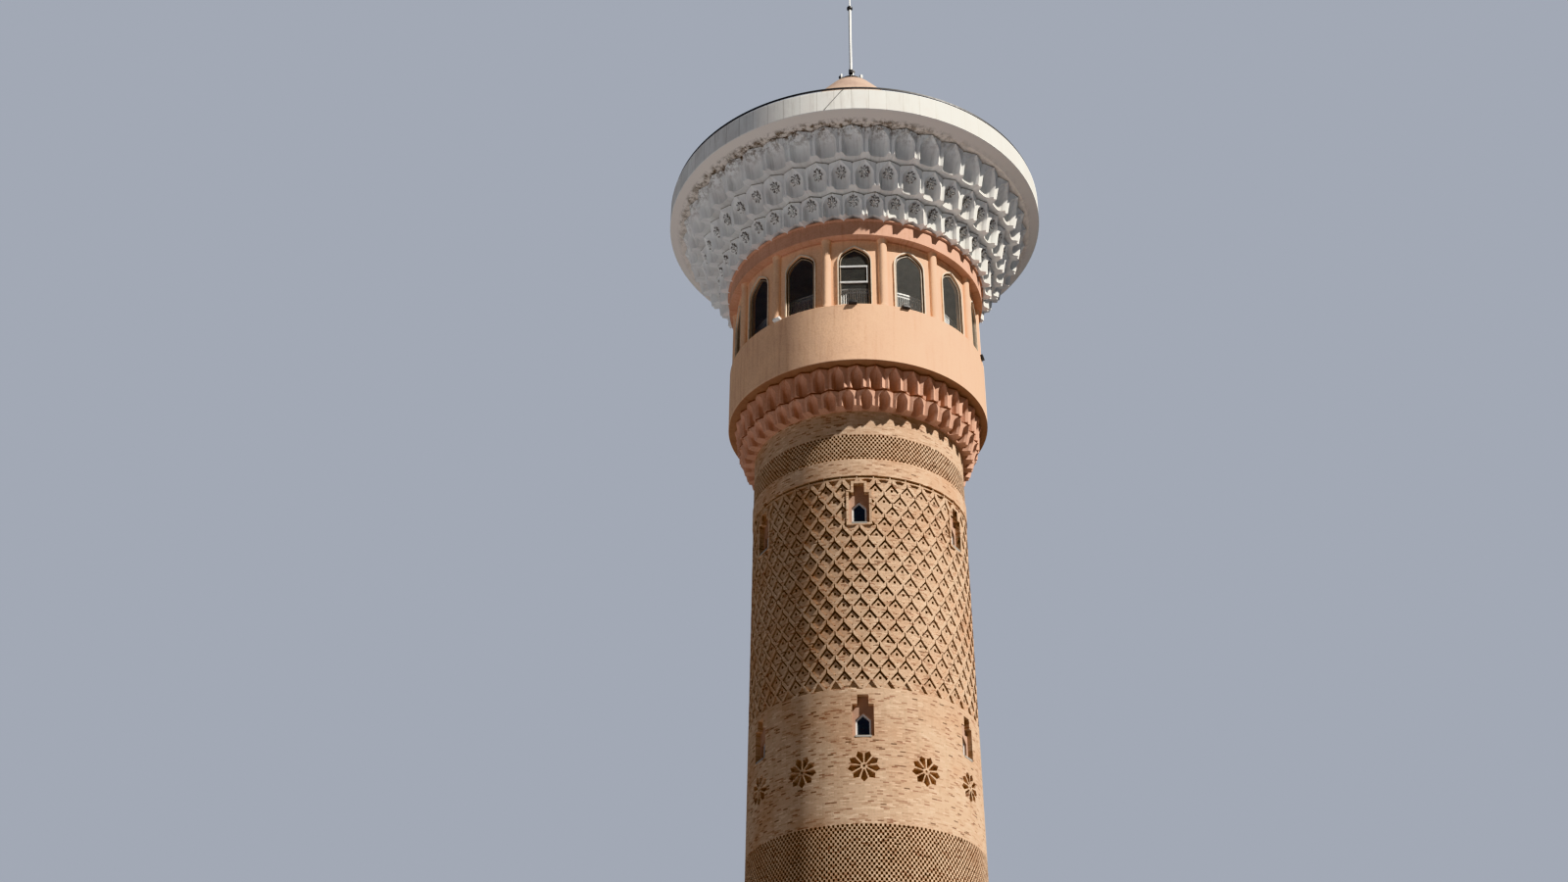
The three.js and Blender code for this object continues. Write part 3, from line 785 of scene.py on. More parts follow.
def rosette_cutters(height, depth):
    """Nine petals and a hub, all round the wall."""
    cutters = bmesh.new()
    petals = 9
    hub_sides = 8
    hub_radius = 0.06 * M
    near = shaft_radius(height) - depth
    sides = [(0.15, 0.03), (0.52, 0.15), (0.68, 0.0)]  # reach and half width, in the building's metres
    petal = sides + [(reach, -half) for reach, half in reversed(sides[:-1])]
    for i in range(petals):
        lean = TURN * i / petals - TURN / 4
        outline = [
            (M * (reach * math.cos(lean) - half * math.sin(lean)),
             height + M * (reach * math.sin(lean) + half * math.cos(lean)))
            for reach, half in petal
        ]
        prism(cutters, outline, near, CLEAR_OF_SHAFT)
    turns = [TURN * i / hub_sides for i in range(hub_sides)]
    hub = [(hub_radius * math.cos(turn), height + hub_radius * math.sin(turn)) for turn in turns]
    prism(cutters, hub, near, CLEAR_OF_SHAFT)
    return copies_round(cutters, ROSETTES_AROUND)


def plain_storey(name, bottom, top, row, work, nodes):
    """Plain brickwork with rosettes and a row of windows."""
    cutters = joined(window_cutters(row),
                     rosette_cutters(SILLS[row] - ROSETTE_DROP, work.sizes.petal_depth))
    add_wall(name, shaft_sheet(FINE, 6, bottom, top), work, nodes, [cutters])


def sink(wall, faces, depth, painted_shade, share=1.0, slant=0.002 * M):
    """Sets faces back behind steep sides, and marks them for painted shade."""
    bmesh.ops.inset_individual(wall, faces=faces, thickness=slant, depth=-depth, use_even_offset=True)
    for face in faces:
        for vert in face.verts:
            vert[painted_shade] = share


def diamond_storey(name, bottom, top, row, work, nodes):
    """Ribs laid in diamonds, each with a set-back panel, a joint over it and two holes in it."""
    sizes = work.sizes
    columns = 2 * DIAMONDS_AROUND
    rows = 2 * DIAMOND_ROWS
    wall = shaft_sheet(columns, rows, bottom, top)
    corners = []
    middles = []
    for vert in wall.verts:
        azimuth = math.atan2(vert.co.x, -vert.co.y)
        column = round(azimuth / TURN * columns)
        line = round((vert.co.z - bottom) / (top - bottom) * rows)
        (corners if (column + line) % 2 == 0 else middles).append(vert)
    bmesh.ops.connect_verts(wall, verts=corners)
    ends = [vert for vert in middles if vert.is_boundary]
    spokes = [edge for vert in ends for edge in vert.link_edges if not edge.is_boundary]
    bmesh.ops.dissolve_verts(wall, verts=[vert for vert in middles if not vert.is_boundary])
    bmesh.ops.dissolve_edges(wall, edges=[edge for edge in spokes if edge.is_valid])
    halves = [face for face in wall.faces if any(edge.is_boundary for edge in face.edges)]
    whole = [face for face in wall.faces if not any(edge.is_boundary for edge in face.edges)]
    painted_shade = wall.verts.layers.float.new("painted_shade")
    bmesh.ops.inset_individual(wall, faces=halves, thickness=sizes.rib / 2, use_even_offset=True)
    # Painted shade: the sunk half panels at the ends are darkened a little.
    sink(wall, halves, 1.5 * sizes.panel_depth, painted_shade, 0.3, 0.004 * M)
    points = diamond_points(sizes)
    depths = [0, sizes.panel_depth, sizes.roof_depth]
    for face in whole:
        fill_diamond(wall, face, points, depths, painted_shade)
    bmesh.ops.delete(wall, geom=whole, context="FACES_ONLY")
    add_wall(name, wall, work, nodes, [window_cutters(row)])


def diamond_points(sizes):
    """The places that the faces of a diamond name, across and up from its middle."""
    fall = (ROOF_RIDGE - SHOULDER[1]) / SHOULDER[0]
    rise = (SHOULDER[1] - PANEL_FOOT) / SHOULDER[0]
    peak = ROOF_RIDGE - sizes.roof_joint / M * math.hypot(1, fall)
    inner = (peak - PANEL_FOOT) / (fall + rise)
    return {
        "chimney": CHIMNEY,
        "eaves": (CHIMNEY[0], ROOF_RIDGE - fall * CHIMNEY[0]),
        "shoulder": SHOULDER,
        "peak": (0, peak),
        "inner": (inner, PANEL_FOOT + rise * inner),
        "toe": (FOOT_HOLE / rise, PANEL_FOOT + FOOT_HOLE),
        "foot": (0, PANEL_FOOT),
        "head": HOLE[:2],
        "sill": (HOLE[0], HOLE[2]),
    }


def fill_diamond(wall, face, points, depths, painted_shade):
    """Makes the faces of one diamond between the corners of the given face."""
    bottom, *sides, top = sorted(face.verts, key=lambda vert: vert.co.z)
    azimuth = math.atan2(top.co.x, -top.co.y)
    middle = (bottom.co.z + top.co.z) / 2
    rightwards = Vector((math.cos(azimuth), math.sin(azimuth), 0))
    left, right = sorted(sides, key=lambda vert: vert.co.dot(rightwards))
    made = {("top", 0, 0): top, ("bottom", 0, 0): bottom, ("right", 0, 1): right, ("right", 0, -1): left}

    def corner(word, side):
        name = word.strip("-")[:-1]
        level = int(word[-1])
        if word.startswith("-"):
            side = -side
        if name in ("top", "bottom"):
            side = 0
        if name in points:
            across, up = points[name]
            side = side if across else 0
            if (name, level, side) not in made:
                turn = azimuth + side * across / DIAMOND_REACH
                height = middle + up * M
                reach = shaft_radius(height) - depths[level]
                vert = wall.verts.new((reach * math.sin(turn), -reach * math.cos(turn), height))
                # Painted shade: the deeper the level, the darker its corners are painted.
                vert[painted_shade] = LEVEL_SHADE[level]
                made[name, level, side] = vert
        return made[name, level, side]

    for words in DIAMOND_HALVES:
        for side in (1, -1):
            wall.faces.new([corner(word, side) for word in words.split()])
    for words in DIAMOND_MIDDLES:
        wall.faces.new([corner(word, 1) for word in words.split()])


def dotted_band(name, bottom, top, rows, work, nodes):
    """Square holes in staggered rows."""
    columns = 2 * DOTS_AROUND
    wall = shaft_sheet(columns, rows, bottom, top)
    holes = []
    for face in wall.faces:
        centre = face.calc_center_median()
        column = math.floor(math.atan2(centre.x, -centre.y) / TURN * columns)
        row = math.floor((centre.z - bottom) / (top - bottom) * rows)
        if (column + row) % 2 == 0:
            holes.append(face)
    painted_shade = wall.verts.layers.float.new("painted_shade")
    # Painted shade: the floors of the holes are darkened fully.
    sink(wall, holes, work.sizes.pit_depth, painted_shade)
    add_wall(name, wall, work, nodes)


def belt(name, levels, work, nodes):
    """A smooth band of brick over a course of short slots."""
    bottom, top = levels
    slot_height = 0.11 * M
    slots = DIAMONDS_AROUND
    step = TURN * FOOT_RADIUS / (2 * slots)
    pier = 0.14  # width of the brick between two slots, in steps
    course = flat_sheet(2 * slots, 1, bottom, bottom + slot_height)
    for vert in course.verts:
        column = round(vert.co.x / step)
        vert.co.x += step * (1 - pier if column % 2 else 0) - step * pier
    bend(course)
    gaps = [face for face in course.faces if face.calc_area() > step * slot_height]
    painted_shade = course.verts.layers.float.new("painted_shade")
    # Painted shade: the backs of the slots are darkened fully.
    sink(course, gaps, 0.2 * M, painted_shade)
    add_wall(f"{name}_slots", course, work, nodes)
    band = ring(SHAFT_INSIDE, shaft_radius(bottom) + 0.03 * M, bottom + slot_height, top)
    add_piece(name, band, work.pale_bricks, nodes)


def build_shaft(work):
    lower = [f"shaft_lower_{i + 1}" for i in range(3)]
    upper = [f"shaft_upper_{i + 1}" for i in range(3)]
    lower_diamonds = LOWER_BELT[0] - DIAMOND_BAND
    upper_diamonds = UPPER_BELT[0] - DIAMOND_BAND
    plain_storey("lower_plain_storey", FOOT_TOP, lower_diamonds, 0, work, lower)
    diamond_storey("lower_diamonds", lower_diamonds, LOWER_BELT[0], 1, work, lower)
    belt("lower_belt", LOWER_BELT, work, ["belt_lower"])
    dotted_band("lower_dots", *LOWER_DOTS, work, upper)
    plain_storey("upper_plain_storey", LOWER_DOTS[1], upper_diamonds, 2, work, upper)
    diamond_storey("upper_diamonds", upper_diamonds, UPPER_BELT[0], 3, work, upper)
    belt("upper_belt", UPPER_BELT, work, ["belt_upper"])
    dotted_band("upper_dots", *UPPER_DOTS, work, ["shaft_neck"])
    add_wall("neck", shaft_sheet(FINE, 2, UPPER_DOTS[1], NECK_TOP), work, ["shaft_neck"])


def gable(sill, scale, grow=0.0):
    """The light of a window: upright sides under a gable."""
    half = 0.3225 * M + grow
    eaves = sill + 0.89 * M * scale
    return [(-half, sill), (half, sill), (half, eaves), (0, sill + 1.22 * M * scale + grow),
            (-half, eaves)]


def build_slit_windows(work):
    shaft = [f"shaft_{part}_{i + 1}" for part in ("lower", "upper") for i in range(3)]
    glass_nodes = [f"window_glass_{row + 1}" for row in range(4)]
    linings, frames, sills, panes, margins = [bmesh.new() for _ in range(5)]
    for row, (sill, scale) in enumerate(zip(SILLS, SILL_SCALES)):
        face = shaft_radius(sill)
        back = face - 0.25 * M
        recess = stepped_outline(sill, scale, 0.012 * M)
        light = gable(sill, scale)
        foot = recess[0][1]
        lining = [recess[0], (light[0][0], foot), light[0], *reversed(light[1:]), (light[1][0], foot),
                  *recess[1:]]
        prism(linings, lining, SHAFT_INSIDE, back)
        frame_of(frames, light, 0.075 * M, back - 0.2 * M, back - 0.1 * M)
        prism(panes, gable(sill, scale, -0.03 * M), back - 0.17 * M, back - 0.16 * M)
        half = 0.34 * M
        prism(sills, box_outline(-half, half, sill - 0.05 * M, sill + 0.03 * M), back - 0.3 * M,
              face + 0.01 * M)
        if row % 2:
            frame_of(margins, stepped_outline(sill, scale, 0.12 * M), 0.12 * M, face - 0.12 * M,
                     face + 0.004 * M)
    for name, bm, finish, slot, nodes in (
        ("window_linings", linings, work.render, "brick", shaft),
        ("window_frames", frames, work.white_metal, "white_steel", glass_nodes),
        ("window_sills", sills, work.concrete, "concrete", shaft),
        ("window_panes", panes, work.dark_glass, "glass", glass_nodes),
        ("window_margins", margins, work.bricks, "brick", shaft),
    ):
        add_piece(name, copies_round(bm, WINDOWS_AROUND), finish, nodes)


# Niches

def niche_back(back, head, level):
    """How far out a niche's back stands at a share of the tier's height, up to the niche's apex."""
    return back + (head - NICHE_BROW - back) * (level / NICHE_APEX) ** NICHE_SCOOP


def niche_tier(levels, valleys, back, head, inside, shape, sizes, first, drop=0.0):
    """A tier of pointed niches, scooped out of a wall that ends in a zigzag: its ridges lie over the
    niches and its valleys between them. It takes the radii of the valleys at foot and top, of a niche's
    back at its foot, of the ridges at the top and of the wall's inner face at foot and top. shape is a
    pair like CORBEL_NICHE, first is the azimuth of one niche, and drop is how far the valleys hang below
    the tier's foot."""
    bottom, top = levels
    height = top - bottom
    springing = 0.44
    outer_apex = 0.93
    opening, arris = shape
    fold = 0.88  # where the wall between two niches turns in to the valley, unless the arris is there
    overhang = 3.5  # the greater, the later the ridges lean out
    curve = [0.35, 0.7, 0.93]
    joint = 1 - sizes.groove / height
    edge = 0.004 * M / height
    rows = [0, 0.04, 0.16, 0.3, springing, 0.52, 0.6, 0.67, 0.73, 0.79, 0.83, NICHE_APEX, 0.9,
            outer_apex, joint - edge, joint, 1]

    def arch(level, peak):
        risen = min(1, max(0, (level - springing) / (peak - springing)))
        return 1 - risen * risen

    def face(share, level):
        valley = valleys[0] + (valleys[1] - valleys[0]) * level
        flank = min(1, (1 - share) / (1 - arris))
        ridge = (head - valleys[1] - sizes.valley) * (1 - share)
        return valley + sizes.valley * flank + ridge * level ** overhang

    columns = 2 * (len(curve) + 4)
    bm = bmesh.new()
    painted_shade = bm.verts.layers.float.new("painted_shade")
    bmesh.ops.create_grid(bm, x_segments=columns, y_segments=len(rows) - 1, size=1)
    for vert in bm.verts:
        column = round((vert.co.x + 1) / 2 * columns) - columns // 2
        level = rows[round((vert.co.y + 1) / 2 * (len(rows) - 1))]
        inner = opening * arch(level, NICHE_APEX)
        outer = arris * arch(level, outer_apex)
        across = [0, *[inner * share for share in curve], inner, outer, max(outer + 0.04, fold), 1]
        side = across[abs(column)]
        reach = face(side, level)
        if abs(column) <= len(curve) + 1 and level < outer_apex:
            reach = face(inner, level) - sizes.splay
        if abs(column) <= len(curve) and level < NICHE_APEX:
            share = 0 if column == 0 else curve[abs(column) - 1]
            hollow = max(0, reach - niche_back(back, head, level)) * math.sqrt(1 - share ** 4)
            reach -= hollow
            # Painted shade in the hollow, the darker the deeper it is.
            vert[painted_shade] = min(0.6, hollow / M)
        # Painted shade, with some soot, in the groove under the next tier.
        if level >= joint:
            reach -= sizes.groove
            vert[painted_shade] = 1
        azimuth = first + math.pi / NICHES_AROUND * math.copysign(side, column)
        hung = drop * side if level == 0 else 0
        vert.co = Vector((reach * math.sin(azimuth), -reach * math.cos(azimuth),
                          bottom + height * level - hung))
    bmesh.ops.remove_doubles(bm, verts=bm.verts, dist=1e-6)
    copies_round(bm, NICHES_AROUND)
    bmesh.ops.remove_doubles(bm, verts=bm.verts, dist=1e-5)
    close_wall(bm, inside)
    return bm


def niche_carvings(radius, height, first, size, stand, width):
    """A carved flower of eight petals round a knob in each niche's head. It leans forward, is hollowed as
    the niche is and stands a little before it; width is that of a petal."""
    bm = bmesh.new()
    petals = 8
    lean = math.radians(42)
    hollow = 1.6 / M
    unevenness = 0.07 * M
    for i in range(petals + 1):
        leaf = bmesh.new()
        bmesh.ops.create_cone(leaf, cap_ends=True, segments=6, radius1=0.26, radius2=0.16, depth=0.3)
        if i < petals:
            turned(moved(scaled(leaf, width, 1.5, 1), 0, 0.66, 0), TURN * i / petals)
        joined(bm, leaf)
    scaled(bm, size, size * 1.4, size)
    for vert in bm.verts:
        vert.co.z += hollow * vert.co.x ** 2 + stand
    moved(turned(bm, TURN / 4 + lean, "X"), 0, -radius, height)
    copies_round(turned(bm, first), NICHES_AROUND)
    noise.seed_set(CARVING_SEED)
    for vert in bm.verts:
        vert.co += unevenness * noise.noise_vector(vert.co * 9 / M)
    return bm


# Gallery

def build_corbel(work):
    half_cell = math.pi / NICHES_AROUND
    levels = [NECK_TOP, CORBEL_MIDDLE, CORBEL_TOP]
    for tier, node in enumerate(["corbel_lower_tier", "corbel_upper_tier"]):
        niches = niche_tier(levels[tier:tier + 2], CORBEL_VALLEYS[tier], CORBEL_BACKS[tier],
                            CORBEL_RIDGES[tier], (SHAFT_INSIDE, SHAFT_INSIDE), CORBEL_NICHE,
                            work.plaster, half_cell * (1 - tier))
        add_piece(f"corbel_niches_{tier + 1}", niches, work.dirty_and_shaded_peach, [node],
                  crease=NICHE_CREASE)


def build_gallery(work):
    walls = [f"gallery_wall_{i + 1}" for i in range(BAYS // 2)]
    edge = 0.03 * M
    inner = 5.5 * M
    rebate = 5.8 * M
    seat = GALLERY_FLOOR - 0.3 * M
    profile = [(inner, CORBEL_TOP), (PARAPET_RADIUS - edge, CORBEL_TOP),
               (PARAPET_RADIUS, CORBEL_TOP + edge), (PARAPET_RADIUS, GALLERY_FLOOR - edge),
               (PARAPET_RADIUS - edge, GALLERY_FLOOR), (rebate, GALLERY_FLOOR), (rebate, seat),
               (inner, seat)]
    parapet = revolved(profile)
    # Painted shade: the parapet's underside is darkened.
    painted_shade = parapet.verts.layers.float.new("painted_shade")
    for vert in parapet.verts:
        vert[painted_shade] = 0.8 if vert.co.z < CORBEL_TOP + edge / 2 else 0
    add_piece("parapet", parapet, work.peach, ["parapet_band"])

    wall = ring(*GALLERY_WALL, GALLERY_FLOOR, BEAM_BOTTOM, 168)
    opening = gallery_arch("opening", GALLERY_FLOOR - 0.1 * M)
    cutters = copies_round(prism(bmesh.new(), opening, 5 * M, CLEAR_OF_FOOT), BAYS)
    add_piece("gallery_wall", wall, work.peach, walls, [cutters])
    build_gallery_windows(work, walls)

    radius = 0.225 * M
    height = BEAM_BOTTOM + 0.1 * M - GALLERY_FLOOR
    shape = [(0, 0), (1.16, 0), (1.16, 0.022), (1.04, 0.034), (1, 0.05), (1, 0.945), (1.07, 0.95),
             (1.07, 0.965), (1.16, 0.975), (1.16, 1), (0, 1)]  # shares of that radius and height
    pilaster = revolved([(reach * radius, GALLERY_FLOOR + share * height) for reach, share in shape], 28)
    turned(moved(pilaster, 0, -GALLERY_WALL[1], 0), math.pi / BAYS)
    add_piece("pilasters", copies_round(pilaster, BAYS), work.peach, walls)

    face = BEAM_RADIUS - 0.1 * M
    foot = GALLERY_WALL[1] + 0.03 * M
    soffit = BEAM_BOTTOM + 0.08 * M
    beam = [(GALLERY_WALL[0], BEAM_BOTTOM), (foot, BEAM_BOTTOM), (foot, soffit), (face, soffit),
            (face, BEAM_TOP - 0.08 * M), (BEAM_RADIUS, BEAM_TOP - 0.05 * M), (BEAM_RADIUS, BEAM_TOP),
            (GALLERY_WALL[0], BEAM_TOP)]
    add_piece("gallery_cornice", revolved(beam), work.dirty_and_shaded_peach, ["gallery_beam"])
    build_balustrade(work)


def gallery_arch(part, foot):
    """The outline of that part of a gallery window."""
    width, apex = GALLERY_ARCHES[part]
    return pointed_arch(width, GALLERY_SPRING, apex, foot)


def build_gallery_windows(work, walls):
    """The surround, gasket, sash and pane of each bay, and the bars of the front one."""
    glass = ["gallery_glass"]
    face = GALLERY_WALL[1]
    casement = face - 0.06 * M
    for name, part, width, near, far, finish, slot, nodes in (
        ("gallery_surrounds", "surround", 0.06 * M, face - 0.08 * M, face + 0.03 * M, work.cream,
         "peach_plaster", walls),
        ("gallery_gaskets", "opening", 0.07 * M, casement - 0.07 * M, casement - 0.03 * M,
         work.dark_metal, "dark_steel", glass),
        ("gallery_sashes", "sash", 0.04 * M, casement - 0.07 * M, casement, work.beige, "white_steel",
         glass),
    ):
        bars = frame_of(bmesh.new(), gallery_arch(part, GALLERY_FLOOR), width, near, far)
        add_piece(name, copies_round(bars, BAYS), finish, nodes)
    frames = bmesh.new()
    for edges in ((-0.71, 0.62, 53.035, 53.125), (-0.71, 0.62, 53.975, 54.065),
                  (0.57, 0.61, 53.125, 53.975)):  # left, right, foot and head, in the building's metres
        prism(frames, box_outline(*[M * edge for edge in edges]), casement - 0.06 * M, casement + 0.01 * M)
    add_piece("gallery_frames", frames, work.white_metal, glass)
    pane = gallery_arch("pane", GALLERY_FLOOR + 0.02 * M)
    panes = prism(bmesh.new(), pane, casement - 0.045 * M, casement - 0.035 * M)
    add_piece("gallery_panes", copies_round(panes, BAYS), work.gallery_glass, glass)


def build_balustrade(work):
    radius = 5.38 * M
    seat = high("gallery_kerb")
    rails = bmesh.new()
    for height, half_thickness in ((1.02, 0.04), (0.85, 0.032), (0.14, 0.03)):
        middle = seat + height * M
        half = half_thickness * M
        ring(radius - half, radius + half, middle - half, middle + half, 168, rails)
    length = 0.94 * M
    posts_per_bay = 22
    posts = copies_round(moved(thin_post(0.036 * M, length), 0, -radius, seat + length / 2),
                         posts_per_bay * BAYS)
    add_piece("balustrade", joined(rails, posts), work.white_metal, ["gallery_railing"])


# Crown

def build_crown(work):
    half_cell = math.pi / NICHES_AROUND
    carvings = bmesh.new()
    beds = bmesh.new()
    for tier in range(3):
        levels = CROWN_LEVELS[tier:tier + 2]
        inside = [radius - CROWN_WALL for radius in CROWN_RADII[tier:tier + 2]]
        first = half_cell * (tier % 2)
        back = CROWN_BACKS[tier]
        head = CROWN_RADII[tier + 1]
        drop = CROWN_DROP if tier == 0 else 0
        niches = niche_tier(levels, CROWN_VALLEYS[tier], back, head, inside, CROWN_NICHE,
                            work.plaster, first, drop)
        add_piece(f"crown_niches_{tier + 1}", niches, work.stained_white,
                  [f"crown_tier_{tier + 1}"], crease=NICHE_CREASE)
        if tier < 2:
            height = levels[0] + CARVING_LEVEL * (levels[1] - levels[0])
            radius = niche_back(back, head, CARVING_LEVEL)
            joined(carvings, niche_carvings(radius, height, first, 0.2 * M, 0.06 * M, 0.62))
            # Dark beds behind the flowers show between the petals: soot, and painted shade in the gaps.
            joined(beds, niche_carvings(radius, height, first, 0.24 * M, 0.02 * M, 0.9))
    crown = ["crown_tier_1", "crown_tier_2"]
    add_piece("niche_carvings", carvings, work.stained_white, crown)
    add_piece("carving_beds", beds, work.soot_and_shade_white, crown)
    build_rim(work)


def build_rim(work):
    """The soffit, fascia and upstand round the terrace, with a low rail on top."""
    foot = CROWN_LEVELS[3]
    gutter = foot + 0.3 * M
    gutter_radius = 8.85 * M
    bed = 8.3 * M
    lip = RIM_RADIUS - 0.03 * M
    edge = 0.02 * M
    profile = [(gutter_radius, foot), (bed, foot), (bed, foot - 0.02 * M),
               (CROWN_RADII[3] + 0.05 * M, foot - 0.01 * M),
               (RIM_RADIUS - 0.06 * M, SOFFIT - 0.02 * M), (RIM_RADIUS, SOFFIT + 0.02 * M),
               (RIM_RADIUS, RIM_TOP - 0.12 * M), (lip, RIM_TOP - 0.1 * M), (lip, RIM_TOP - edge),
               (lip - edge, RIM_TOP), (RIM_RADIUS - RIM_WALL, RIM_TOP),
               (RIM_RADIUS - RIM_WALL, gutter + 0.3 * M), (gutter_radius, gutter)]
    add_piece("rim", revolved(profile), work.rim_white, ["crown_rim"])
    reach = RIM_RADIUS - 0.1 * M
    half = 0.02 * M
    rail = ring(reach - half, reach + half, RIM_TOP + 0.1 * M, RIM_TOP + 0.2 * M)
    length = 0.17 * M
    pegs = 84
    peg = moved(thin_post(0.014 * M, length), 0, -reach, RIM_TOP + length / 2)
    add_piece("rim_rail", joined(rail, copies_round(peg, pegs)), work.dark_metal,
              ["crown_rim"])


# Roof

def build_roof(work):
    reach = 8.84 * M
    deck = [(0, CROWN_LEVELS[3]), (reach, CROWN_LEVELS[3]), (reach, DECK), (0, DECK)]
    add_piece("terrace", revolved(deck, 84), work.concrete, ["roof_deck"])
    inner = LANTERN_RADIUS - 0.3 * M
    drum = ring(inner, LANTERN_RADIUS, DECK, LANTERN_TOP, 168)
    panel = pointed_arch(1.5 * M, 63.6 * M, 64.6 * M, DECK + 0.6 * M)
    cutters = copies_round(prism(bmesh.new(), panel, LANTERN_RADIUS - 0.12 * M, CLEAR_OF_SHAFT), BAYS)
    add_piece("lantern_wall", drum, work.peach, ["lantern_drum"], [cutters])

    foot = LANTERN_TOP + 0.16 * M
    shoulder = (1.27 * M, 70.95 * M)
    curve = 8
    slope = [
        (EAVES_RADIUS + (shoulder[0] - EAVES_RADIUS) * i / curve,
         foot + (shoulder[1] - foot) * i / curve + 0.1 * M * math.sin(math.pi * i / curve))
        for i in range(curve + 1)
    ]
    dome_steps = 6
    turns = [TURN / 4 * (i + 1) / dome_steps for i in range(dome_steps)]
    dome = [
        (shoulder[0] + (CAP_RADIUS * 0.55 - shoulder[0]) * math.sin(turn),
         CAP_TOP - (CAP_TOP - shoulder[1]) * math.cos(turn))
        for turn in turns
    ]
    hollow = 0.3 * M
    profile = [(EAVES_RADIUS, LANTERN_TOP), *slope, *dome, (hollow, CAP_TOP), (hollow, CAP_TOP - 0.9 * M),
               (inner, LANTERN_TOP)]
    add_piece("lantern_cone", revolved(profile, 168), work.cap_plaster,
              ["lantern_roof"])
    build_mast(work)
    build_cap_lamps(work)
    build_sill_lamps(work)
    build_strap(work)


def build_mast(work):
    radius = 0.075 * M
    flange = 2.2 * radius
    mast = revolved([(0, CAP_TOP), (flange, CAP_TOP), (flange, CAP_TOP + 0.08 * M),
                     (radius, CAP_TOP + 0.2 * M), (radius, COLLAR[0]), (0, COLLAR[0])], 24)
    add_piece("mast_tube", mast, work.white_metal, ["mast"])
    middle = (COLLAR[0] + COLLAR[1]) / 2
    collar = revolved([(0, COLLAR[0]), (0.09 * M, COLLAR[0]), (0.16 * M, middle - 0.05 * M),
                       (0.16 * M, middle + 0.05 * M), (0.09 * M, COLLAR[1]), (0, COLLAR[1])], 24)
    add_piece("mast_lamp", collar, work.dark_metal, ["mast_collar"])
    rod = [(0, COLLAR[1]), (0.04 * M, COLLAR[1]), (0.035 * M, MAST_TOP - 0.3 * M), (0, MAST_TOP)]
    add_piece("mast_tip", revolved(rod, 16), work.white_metal, ["mast_rod"])


def build_cap_lamps(work):
    """Lamps on posts round the cap, with a dish and a box at the mast's foot."""
    seat = CAP_TOP + 0.05 * M
    rim = 0.56 * M
    dark = ring(0.25 * M, 0.68 * M, CAP_TOP + 0.02 * M, seat, 48)
    for azimuth in (0, 90, 180, 270):
        post = ring(0.02 * M, 0.035 * M, seat, seat + 0.4 * M, 10)
        joined(dark, turned(moved(post, 0, -rim, 0), math.radians(azimuth)))
    for azimuth in (180, 270):
        ball = bmesh.new()
        bmesh.ops.create_uvsphere(ball, u_segments=16, v_segments=10, radius=0.13 * M)
        joined(dark, turned(moved(ball, 0, -rim, seat + 0.5 * M), math.radians(azimuth)))
    box = soft_box((0.24 * M, 0.18 * M, 0.3 * M), 0.03 * M)
    joined(dark, moved(box, 0, -rim, seat + 0.36 * M))
    add_piece("cap_lamps_dark", dark, work.dark_metal, ["cap_lamps"])

    white = bmesh.new()
    capsule = [(0, 0.3), (0.06, 0.32), (0.1, 0.37), (0.1, 0.58), (0.06, 0.63), (0, 0.65)]
    for azimuth, slim in ((90, 1), (255, 0.5), (285, 0.5)):
        lamp = revolved([(slim * reach * M, seat + height * M) for reach, height in capsule], 16)
        joined(white, turned(moved(lamp, 0, -rim, 0), math.radians(azimuth)))
    dish = revolved([(0, seat), (0.05 * M, seat), (0.05 * M, seat + 0.5 * M), (0.14 * M, seat + 0.56 * M),
                     (0.12 * M, seat + 0.6 * M), (0, seat + 0.55 * M)], 20)
    joined(white, moved(dish, 0.1 * M, -0.34 * M, 0))
    add_piece("cap_lamps_white", white, work.white_metal, ["cap_lamps"])


def build_sill_lamps(work):
    """Small floodlights on the sill of the gallery, one of them white."""
    dark = bmesh.new()
    white = bmesh.new()
    white_one = -36
    for azimuth in (white_one, -1, 22, 75, 120, 165, 210, 255):
        lamp = turned(soft_box((0.4 * M, 0.2 * M, 0.14 * M), 0.02 * M), -0.3, "X")
        moved(lamp, 0, -PARAPET_RADIUS - 0.03 * M, GALLERY_FLOOR + 0.02 * M)
        joined(white if azimuth == white_one else dark, turned(lamp, math.radians(azimuth)))
    add_piece("sill_lamps", dark, work.dark_metal, ["parapet_band"])
    add_piece("sill_lamp_white", white, work.white_metal, ["parapet_band"])


